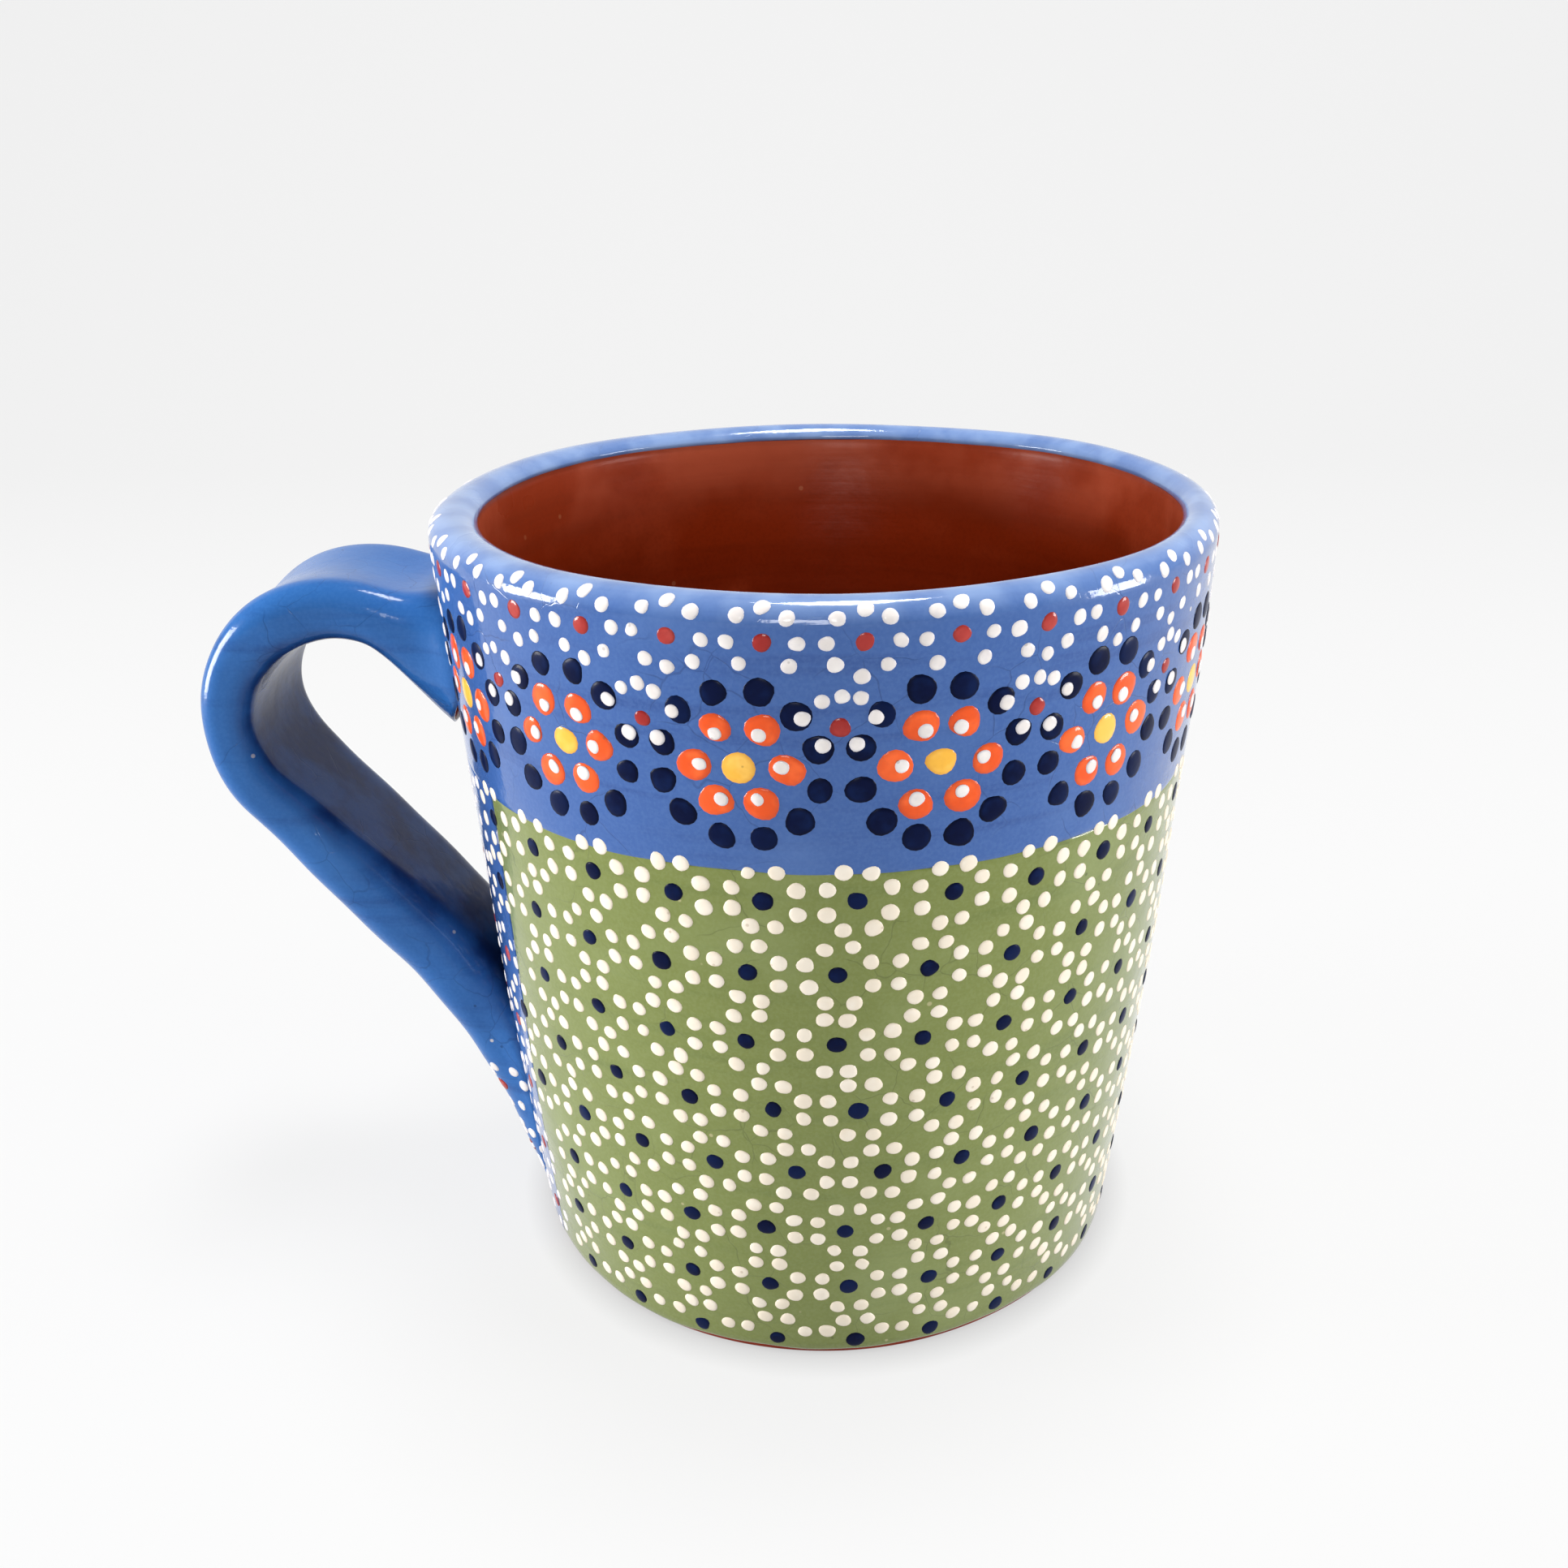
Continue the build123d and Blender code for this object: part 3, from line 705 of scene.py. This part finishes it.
def along_strap(values):
    """A size at each point of the strap, from its values at the root, neck, crown and so on to the tip."""
    neck, crown_end, fall_end, tail_end, tip = STRAP_ENDS
    places = [0.0, neck]
    places += [neck + share * (crown_end - neck) for share in CROWN_PLACES]
    places += [crown_end + share * (fall_end - crown_end) for share in FALL_PLACES]
    places += [fall_end + TAIL_PLACE * (tail_end - fall_end), tail_end, tip]
    even = np.linspace(0, tip, SMOOTH_STEPS)
    sizes = np.interp(even, places, values)
    window = np.hanning(2 * SMOOTH_REACH + 1)
    padded = np.pad(sizes, SMOOTH_REACH, mode="edge")
    smooth = np.convolve(padded, window / window.sum(), mode="valid")
    return np.interp(STRAP_RUN, even, smooth)


# Sizes at the root, neck, crown, bend, strap, heel, tail, lap and tip: the outer face is a little hollow
STRAP_WIDTH = along_strap([23.0, 22.0, 21.8, 21.4, 20.4, 19.6, 19.4, 18.7, 18.0])
STRAP_THICKNESS = along_strap([19.6, 7.0, 7.4, 5.9, 7.8, 9.2, 8.6, 5.2, 2.4])
STRAP_HOLLOW = along_strap([0.1, 0.5, 0.6, 0.45, 0.3, 0.25, 0.15, 0.0, 0.0])
# How worn the far ridge is along the strap, and how strong its painted highlight
STRAP_WEAR_GLINT = along_strap([0.7, 1.0, 0.9, 0.35, 0.2, 0.2, 0.2, 0.3, 0.3])
STRAP_EDGE_FLAT = 0.16
CORNER_STEPS = 9
FACE_STEPS = 15
EDGE_STEPS = 3
SECTION_STEPS = 4 * CORNER_STEPS + 2 * FACE_STEPS + 2 * EDGE_STEPS

# Soft joint of the strap with the wall: spread, reach, and how deep the strap's ends go into the clay
FILLET = 1.5
FILLET_REACH = 4.0
END_SINK = 1.5

# Unevenness of the strap's width along it: depth, radians in a millimetre and start
PULL_WAVES = [(0.25, 0.31, 0), (0.2, 0.53, 1)]

# How far the worn ridge with its painted highlight faces outwards, and its spread, and how the slip thins on
# the strap's inside, where shade is also painted
RIDGE_FACING = 0.7
RIDGE_SPREAD = 0.3
THIN_SHADE_GAIN = 1.6
THIN_SHADE_START = 0.5


def section(width, thickness):
    """Rounded rectangle across the strap: its points, and the directions straight out of it."""
    radius = thickness * (1 - STRAP_EDGE_FLAT) / 2
    middle = np.array([width, thickness]) / 2 - radius
    points = []
    normals = []
    for corner, flat_steps in enumerate((FACE_STEPS, EDGE_STEPS, FACE_STEPS, EDGE_STEPS)):
        turns = np.radians(np.linspace(90 * corner, 90 * corner + 90, CORNER_STEPS))
        out = np.stack([np.cos(turns), np.sin(turns)], axis=1)
        centre = middle * np.sign(unit(math.radians(90 * corner + 45)))
        next_centre = middle * np.sign(unit(math.radians(90 * corner + 135)))
        shares = np.linspace(0, 1, flat_steps + 2)[1:-1, None]
        points += [centre + radius * out, centre + (next_centre - centre) * shares + radius * out[-1]]
        normals += [out, np.repeat(out[-1:], flat_steps, axis=0)]
    return np.concatenate(points), np.concatenate(normals)


def joined(points, normals):
    """Strap points, spread into a soft joint near the wall and sunk no deeper than its clay."""
    outside = np.interp(points[:, 2], RUN_LEVEL[:WALL_STEPS], RUN_RADIUS[:WALL_STEPS])
    reach = np.hypot(points[:, 0], points[:, 1])
    near = np.clip(1 - (reach - outside - SLIP) / FILLET_REACH, 0, 1) ** 2
    points[:, 1] += FILLET * near * normals[:, 0]
    reach = np.hypot(points[:, 0], points[:, 1])
    points[:, :2] *= np.maximum(1, (outside - END_SINK) / reach)[:, None]
    return points


def strap_skin(inset):
    """Rings of the strap's skin along its middle line, and at their points how worn the slip is, with a
    painted highlight, and how thinly it covers, with painted shade.
    """
    heading = np.gradient(STRAP, STRAP_RUN, axis=0)
    heading /= np.hypot(*heading.T)[:, None]
    outward = np.stack([heading[:, 1], -heading[:, 0]], axis=1)
    rings = []
    wear_and_glint = []
    thin_slip_and_light = []
    for index, run in enumerate(STRAP_RUN):
        width, thickness = STRAP_WIDTH[index], STRAP_THICKNESS[index]
        pulled = sum(depth * math.sin(run * rate + start) for depth, rate, start in PULL_WAVES)
        outline, normals = section(width + pulled - 2 * inset, thickness - 2 * inset)
        across = np.clip(np.abs(outline[:, 0]) / (width / 2), 0, 1)
        outer = np.clip(normals[:, 1], 0, 1)
        lift = outline[:, 1] - STRAP_HOLLOW[index] * outer * np.cos(across * math.pi / 2) ** 2
        place = STRAP[index] + outward[index] * lift[:, None]
        rings.append(joined(np.stack([place[:, 0], outline[:, 0], place[:, 1]], axis=1), normals))
        ridge = np.clip(1 - np.abs(normals[:, 1] - RIDGE_FACING) / RIDGE_SPREAD, 0, 1)
        far_ridge = ridge * (outline[:, 0] > 0)
        # Worn slip on the far ridge, which also carries a painted highlight
        wear_and_glint.append(STRAP_WEAR_GLINT[index] * far_ridge)
        # Thinner slip on the inner face, which also carries painted shade
        thin_slip_and_light.append(np.clip(-normals[:, 1] * THIN_SHADE_GAIN - THIN_SHADE_START, 0, 1))
    return np.array(rings), np.array(wear_and_glint), np.array(thin_slip_and_light)


SKIN, wear_and_glint, thin_slip_and_light = strap_skin(0.0)
under_skin, _, _ = strap_skin(SLIP)
covered = np.zeros_like(wear_and_glint)
rings = np.concatenate([SKIN, under_skin[::-1]])
faces = grid_faces(len(rings), SECTION_STEPS, close_rows=True, close_columns=True)
strap = new_piece("strap_coat", rings.reshape(-1, 3), faces, strap_paint, "handle_slip")
point_values(strap, "wear_and_glint", np.concatenate([wear_and_glint, covered]))
point_values(strap, "thin_slip_and_light", np.concatenate([thin_slip_and_light, covered]))

faces = grid_faces(len(under_skin), SECTION_STEPS, close_columns=True)
faces.append(list(range(SECTION_STEPS))[::-1])
faces.append([(len(under_skin) - 1) * SECTION_STEPS + step for step in range(SECTION_STEPS)])
new_piece("clay_strap", under_skin.reshape(-1, 3), faces, clay_paint, "handle")

# Slip dots

# A flat island of points is the base of a dome, and a base so far off the slip lies on another dot
FLATNESS = 1e-3
STACKED = 0.15

# Rings of points on a dot, as shares of its radius and rise, and the unevenness of the hand that sets it
DOT_STEPS = 16
DOT_RINGS = np.array([1.0, 1.0, 0.9, 0.6])
DOT_SINK = 0.3
DOT_FLATNESS = 2.6
DOT_FULLNESS = 0.55
DOT_HEIGHTS = np.append(-DOT_SINK, (1 - DOT_RINGS[1:] ** DOT_FLATNESS) ** DOT_FULLNESS)
OUTLINE_WAVES = [(2, 0.04), (3, 0.025), (4, 0.014), (5, 0.01)]
SIZE_SPREAD = 0.05
RISE_SPREAD = 0.15


def islands_of(mesh):
    """Points of each loose island of a mesh, in millimetres."""
    points = np.empty(len(mesh.vertices) * 3)
    mesh.vertices.foreach_get("co", points)
    points = points.reshape(-1, 3) / MM
    ends = np.empty(len(mesh.edges) * 2, dtype=np.int64)
    mesh.edges.foreach_get("vertices", ends)
    first, second = ends.reshape(-1, 2).T
    label = np.arange(len(points))
    while True:
        lowest = label.copy()
        np.minimum.at(lowest, first, label[second])
        np.minimum.at(lowest, second, label[first])
        lowest = lowest[lowest]
        if np.array_equal(lowest, label):
            break
        label = lowest
    order = np.argsort(label, kind="stable")
    cuts = np.nonzero(np.diff(label[order]))[0] + 1
    return np.split(points[order], cuts)


def dot_seats(node):
    """Middle and radius of each dot of a CAD node, from the flat bases of its domes."""
    seats = []
    for island in islands_of(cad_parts[node].data):
        middle = island.mean(axis=0)
        _, spread, _ = np.linalg.svd(island - middle, full_matrices=False)
        if spread[2] < FLATNESS * spread[0]:
            seats.append((middle, np.linalg.norm(island - middle, axis=1).max()))
    seats.sort(key=lambda seat: (round(seat[0][2], 1), math.atan2(seat[0][1], seat[0][0])))
    return seats


# Face of the slip from foot to lip, as runs along the clay and along the face itself
FACE_POINTS = 4000
CLAY_RUN = np.linspace(0, RUN[-1], FACE_POINTS)
FACE_RADIUS, FACE_LEVEL = on_wall(CLAY_RUN, SLIP)
FACE_RUN = np.append(0, np.cumsum(np.hypot(np.diff(FACE_RADIUS), np.diff(FACE_LEVEL))))


def blob(hand, radius, rise):
    """Points of an irregular low blob, from rings and a top, as offsets to the right, up and out."""
    turn = np.linspace(0, 2 * math.pi, DOT_STEPS, endpoint=False)
    outline = np.ones(DOT_STEPS) * (1 + hand.normal(0, SIZE_SPREAD))
    for count, depth in OUTLINE_WAVES:
        outline = outline + hand.normal(0, depth) * np.cos(count * turn + hand.uniform(0, 2 * math.pi))
    dot_rise = rise * hand.uniform(1 - RISE_SPREAD, 1 + RISE_SPREAD)
    right = radius * np.append(DOT_RINGS[:, None] * outline * np.cos(turn), 0.0)
    up = radius * np.append(DOT_RINGS[:, None] * outline * np.sin(turn), 0.0)
    out = dot_rise * np.append(np.repeat(DOT_HEIGHTS, DOT_STEPS), 1.0)
    return right, up, out


def on_slip(middle, right, up, out, base_rise):
    """Offsets about a seat as points on the uneven slip, or on a dot of a rise if the seat is on one."""
    reach = math.hypot(middle[0], middle[1])
    away = np.hypot(FACE_RADIUS - reach, FACE_LEVEL - middle[2])
    nearest = away.argmin()
    base = base_rise if away[nearest] > STACKED else 0.0
    run = np.interp(FACE_RUN[nearest] + up, FACE_RUN, CLAY_RUN)
    radius, level = on_wall(run, SLIP + base + out)
    return thrown_points(radius, math.atan2(middle[1], middle[0]) + right / reach, level)


# Directions straight out of the strap's coat, and how squarely its near side faces sideways
SKIN_OUT = np.cross(np.gradient(SKIN, axis=0), np.gradient(SKIN, axis=1))
SKIN_OUT /= np.linalg.norm(SKIN_OUT, axis=2, keepdims=True)
NEAR_SIDE = -0.5


def between_points(grid, row, column):
    """Values of a grid between its points."""
    below = row.astype(int)
    beside = column.astype(int)
    climb = (row - below)[:, None]
    along = (column - beside)[:, None]
    low = grid[below, beside] * (1 - along) + grid[below, beside + 1] * along
    high = grid[below + 1, beside] * (1 - along) + grid[below + 1, beside + 1] * along
    return low * (1 - climb) + high * climb


def lengths(points):
    """Distances along a line of points from its start."""
    return np.append(0, np.cumsum(np.linalg.norm(np.diff(points, axis=0), axis=1)))


def on_strap(place, right, up, out):
    """Offsets about a place on the strap's near side, given by its x and level, as points on the coat."""
    away = np.hypot(SKIN[:, :, 0] - place[0], SKIN[:, :, 2] - place[1])
    away[SKIN_OUT[:, :, 1] > NEAR_SIDE] = np.inf
    ring, step = np.unravel_index(away.argmin(), away.shape)
    run = lengths(SKIN[:, step])
    girth = lengths(SKIN[ring])
    row = np.interp(run[ring] + up, run, np.arange(len(run)))
    column = np.interp(girth[step] + right, girth, np.arange(len(girth)))
    return between_points(SKIN, row, column) + out[:, None] * between_points(SKIN_OUT, row, column)


def dot_group(name, node, material, rise, seed, base_rise=0.0, tail_places=()):
    """All dots of one kind as irregular low blobs on the wall, on other dots or on the strap's tail."""
    hand = np.random.default_rng(seed)
    seats = dot_seats(node)
    dots = [on_slip(middle, *blob(hand, radius, rise), base_rise) for middle, radius in seats]
    dots += [on_strap(place, *blob(hand, seats[0][1], rise)) for place in tail_places]
    faces = []
    ring_faces = grid_faces(len(DOT_RINGS), DOT_STEPS, close_columns=True)
    for index, dot in enumerate(dots):
        start = index * len(dot)
        faces += [tuple(start + corner for corner in face) for face in ring_faces]
        top = start + len(dot) - 1
        last = top - DOT_STEPS
        faces += [(last + step, last + (step + 1) % DOT_STEPS, top) for step in range(DOT_STEPS)]
        faces.append([start + step for step in range(DOT_STEPS)][::-1])
    piece = new_piece(name, np.concatenate(dots), faces, material, node)
    point_values(piece, "rim", np.tile(np.append(np.repeat(DOT_RINGS, DOT_STEPS), 0.0), len(dots)))
    point_values(piece, "tone", np.repeat(hand.uniform(size=len(dots)), len(dots[0])))


# Rosettes of the panel that run on over the near side of the strap's tail, as x and level of their red dots
TAIL_REDS = [(-42.0, 17.5), (-40.2, 8.2)]
TAIL_WHITES_EACH = 7
TAIL_WHITES_START = 1.9
TAIL_ROSETTE_RADIUS = 3.2
tail_turns = TAIL_WHITES_START + np.arange(TAIL_WHITES_EACH) * 2 * math.pi / TAIL_WHITES_EACH
tail_whites = [np.array(red) + TAIL_ROSETTE_RADIUS * unit(turn) for red in TAIL_REDS for turn in tail_turns]

# Rises of the dots above what they lie on
EYE_RISE = 0.15
PETAL_RISE = 0.17
HIGHLIGHT_RISE = 0.1
NAVY_RISE = 0.15
BAND_RISE = 0.12
LATTICE_RISE = 0.13
PANEL_RISE = 0.12

dot_group("flower_eye_dots", "flower_eyes", yellow_paint, EYE_RISE, seed=11)
dot_group("flower_petal_dots", "flower_petals", orange_paint, PETAL_RISE, seed=12)
dot_group(
    "petal_highlight_dots",
    "petal_highlights",
    white_paint,
    HIGHLIGHT_RISE,
    seed=13,
    base_rise=PETAL_RISE,
)
dot_group("flower_navy_dots", "flower_ring_dots", navy_paint, NAVY_RISE, seed=14)
dot_group("band_red_blobs", "band_red_dots", red_paint, BAND_RISE, seed=15)
dot_group(
    "band_white_blobs", "band_white_dots", white_paint, BAND_RISE, seed=16, base_rise=NAVY_RISE
)
dot_group("lattice_navy_blobs", "lattice_navy_dots", navy_paint, LATTICE_RISE, seed=17)
dot_group("lattice_white_blobs", "lattice_white_dots", cream_paint, LATTICE_RISE, seed=18)
dot_group(
    "panel_red_blobs", "panel_red_dots", red_paint, PANEL_RISE, seed=19, tail_places=TAIL_REDS
)
dot_group(
    "panel_white_blobs",
    "panel_white_dots",
    white_paint,
    PANEL_RISE,
    seed=20,
    tail_places=tail_whites,
)

# Studio: a pale sweep, an even tent of light, and soft lamps above, in front and at both sides
STAGE_REACH = 1800.0
BACKDROP_FOOT = 500.0
BACKDROP_BEND = 500.0
BACKDROP_STEPS = 17

# Paper: its bounce, its shadow, its glow on the floor and the backdrop, and the share of the glow left in the
# painted contact shadow beside the foot
BOUNCE = rgb(0.52, 0.52, 0.52)
SHADE = rgb(0.10, 0.10, 0.10)
FLOOR_GLOW = 0.815
BACKDROP_GLOW = 0.820
CONTACT_REACH = 4.0
CONTACT_LIGHT = 0.62

# Tent light, and the place, width and power of each lamp
TENT = rgb(1.0, 1.0, 1.0)
TENT_STRENGTH = 0.38
LAMPS = {
    "lamp_above": ((30.0, 40.0, 600.0), 160.0, 2.9),
    "lamp_front": ((-60.0, -680.0, 240.0), 190.0, 1.6),
    "lamp_left": ((-560.0, -60.0, 105.0), 200.0, 3.5),
    "lamp_right": ((560.0, -60.0, 105.0), 200.0, 2.5),
}


def seen_rays(tree):
    """One for rays from the camera, mirrors and glass, and zero for rays that only carry light."""
    path = tree.nodes.new("ShaderNodeLightPath")
    result = path.outputs["Is Camera Ray"]
    for name in ("Is Glossy Ray", "Is Transmission Ray"):
        either = tree.nodes.new("ShaderNodeMath")
        either.operation = "MAXIMUM"
        tree.links.new(result, either.inputs[0])
        tree.links.new(path.outputs[name], either.inputs[1])
        result = either.outputs["Value"]
    return result


def stage_material():
    """White paper: a plain diffuse sheet for the light, and one with a faint shadow for the eye."""
    material = bpy.data.materials.new("studio_white")
    material.use_nodes = True
    tree = material.node_tree
    tree.nodes.clear()
    bounce = tree.nodes.new("ShaderNodeBsdfDiffuse")
    bounce.inputs["Color"].default_value = BOUNCE
    shade = tree.nodes.new("ShaderNodeBsdfDiffuse")
    shade.inputs["Color"].default_value = SHADE
    place = tree.nodes.new("ShaderNodeNewGeometry")
    level = tree.nodes.new("ShaderNodeSeparateXYZ")
    tree.links.new(place.outputs["Position"], level.inputs["Vector"])
    rise = tree.nodes.new("ShaderNodeMapRange")
    tree.links.new(level.outputs["Z"], rise.inputs["Value"])
    rise.inputs["From Max"].default_value = BACKDROP_BEND * MM
    rise.inputs["To Min"].default_value = FLOOR_GLOW
    rise.inputs["To Max"].default_value = BACKDROP_GLOW
    # Painted contact shadow: occlusion near the foot dims the paper's glow
    corner = tree.nodes.new("ShaderNodeAmbientOcclusion")
    corner.inputs["Distance"].default_value = CONTACT_REACH * MM
    contact = tree.nodes.new("ShaderNodeMapRange")
    tree.links.new(corner.outputs["AO"], contact.inputs["Value"])
    contact.inputs["To Min"].default_value = CONTACT_LIGHT
    dimmed = tree.nodes.new("ShaderNodeMath")
    dimmed.operation = "MULTIPLY"
    tree.links.new(rise.outputs["Result"], dimmed.inputs[0])
    tree.links.new(contact.outputs["Result"], dimmed.inputs[1])
    glow = tree.nodes.new("ShaderNodeEmission")
    tree.links.new(dimmed.outputs["Value"], glow.inputs["Strength"])
    seen = tree.nodes.new("ShaderNodeAddShader")
    tree.links.new(shade.outputs["BSDF"], seen.inputs[0])
    tree.links.new(glow.outputs["Emission"], seen.inputs[1])
    choice = tree.nodes.new("ShaderNodeMixShader")
    tree.links.new(seen_rays(tree), choice.inputs["Fac"])
    tree.links.new(bounce.outputs["BSDF"], choice.inputs[1])
    tree.links.new(seen.outputs["Shader"], choice.inputs[2])
    output = tree.nodes.new("ShaderNodeOutputMaterial")
    tree.links.new(choice.outputs["Shader"], output.inputs["Surface"])
    return material


def sweep():
    """Floor that curves up into a backdrop."""
    profile = [(-STAGE_REACH, 0.0)]
    for turn in np.radians(np.linspace(0, 90, BACKDROP_STEPS)):
        profile.append((BACKDROP_FOOT + BACKDROP_BEND * math.sin(turn), BACKDROP_BEND * (1 - math.cos(turn))))
    profile.append((BACKDROP_FOOT + BACKDROP_BEND, STAGE_REACH))
    points = [(side * STAGE_REACH, y, z) for y, z in profile for side in (-1, 1)]
    mesh = bpy.data.meshes.new("studio_sweep")
    mesh.from_pydata((np.array(points) * MM).tolist(), [], grid_faces(len(profile), 2))
    mesh.polygons.foreach_set("use_smooth", [True] * len(mesh.polygons))
    floor = bpy.data.objects.new("studio_sweep", mesh)
    bpy.context.scene.collection.objects.link(floor)
    mesh.materials.append(stage_material())


def lamp(name, place, size, power):
    """A square soft lamp that faces the mug."""
    light = bpy.data.lights.new(name, "AREA")
    light.size = size * MM
    light.energy = power
    holder = bpy.data.objects.new(name, light)
    holder.location = Vector(place) * MM
    aim = Vector((0, 0, HEIGHT / 2)) * MM - holder.location
    holder.rotation_euler = aim.to_track_quat("-Z", "Y").to_euler()
    bpy.context.scene.collection.objects.link(holder)


def studio():
    """Sweep, tent light and lamps."""
    sweep()
    world = bpy.data.worlds.new("tent")
    world.use_nodes = True
    background = world.node_tree.nodes["Background"]
    background.inputs["Color"].default_value = TENT
    background.inputs["Strength"].default_value = TENT_STRENGTH
    bpy.context.scene.world = world
    for name, (place, size, power) in LAMPS.items():
        lamp(name, place, size, power)


def camera():
    """The photograph's camera."""
    dip = math.radians(CAMERA_DIP)
    turn = math.radians(CAMERA_TURN)
    roll = math.radians(CAMERA_ROLL)
    forward = Vector((-math.cos(dip) * math.sin(turn), math.cos(dip) * math.cos(turn), -math.sin(dip)))
    right = forward.cross(Vector((0, 0, 1))).normalized()
    up = right.cross(forward)
    right, up = right * math.cos(roll) + up * math.sin(roll), up * math.cos(roll) - right * math.sin(roll)
    lens = bpy.data.cameras.new("photo_camera")
    lens.sensor_width = SENSOR_WIDTH
    lens.lens = SENSOR_WIDTH * FOCAL_PIXELS / PHOTO_SIZE
    lens.clip_start = CAMERA_NEAR * MM
    holder = bpy.data.objects.new("photo_camera", lens)
    turned = Matrix((right, up, -forward)).transposed().to_4x4()
    holder.matrix_world = Matrix.Translation(Vector(CAMERA_PLACE) * MM) @ turned
    bpy.context.scene.collection.objects.link(holder)
    bpy.context.scene.camera = holder


studio()
camera()
bpy.context.scene.view_settings.view_transform = "Standard"

bpy.context.view_layer.update()
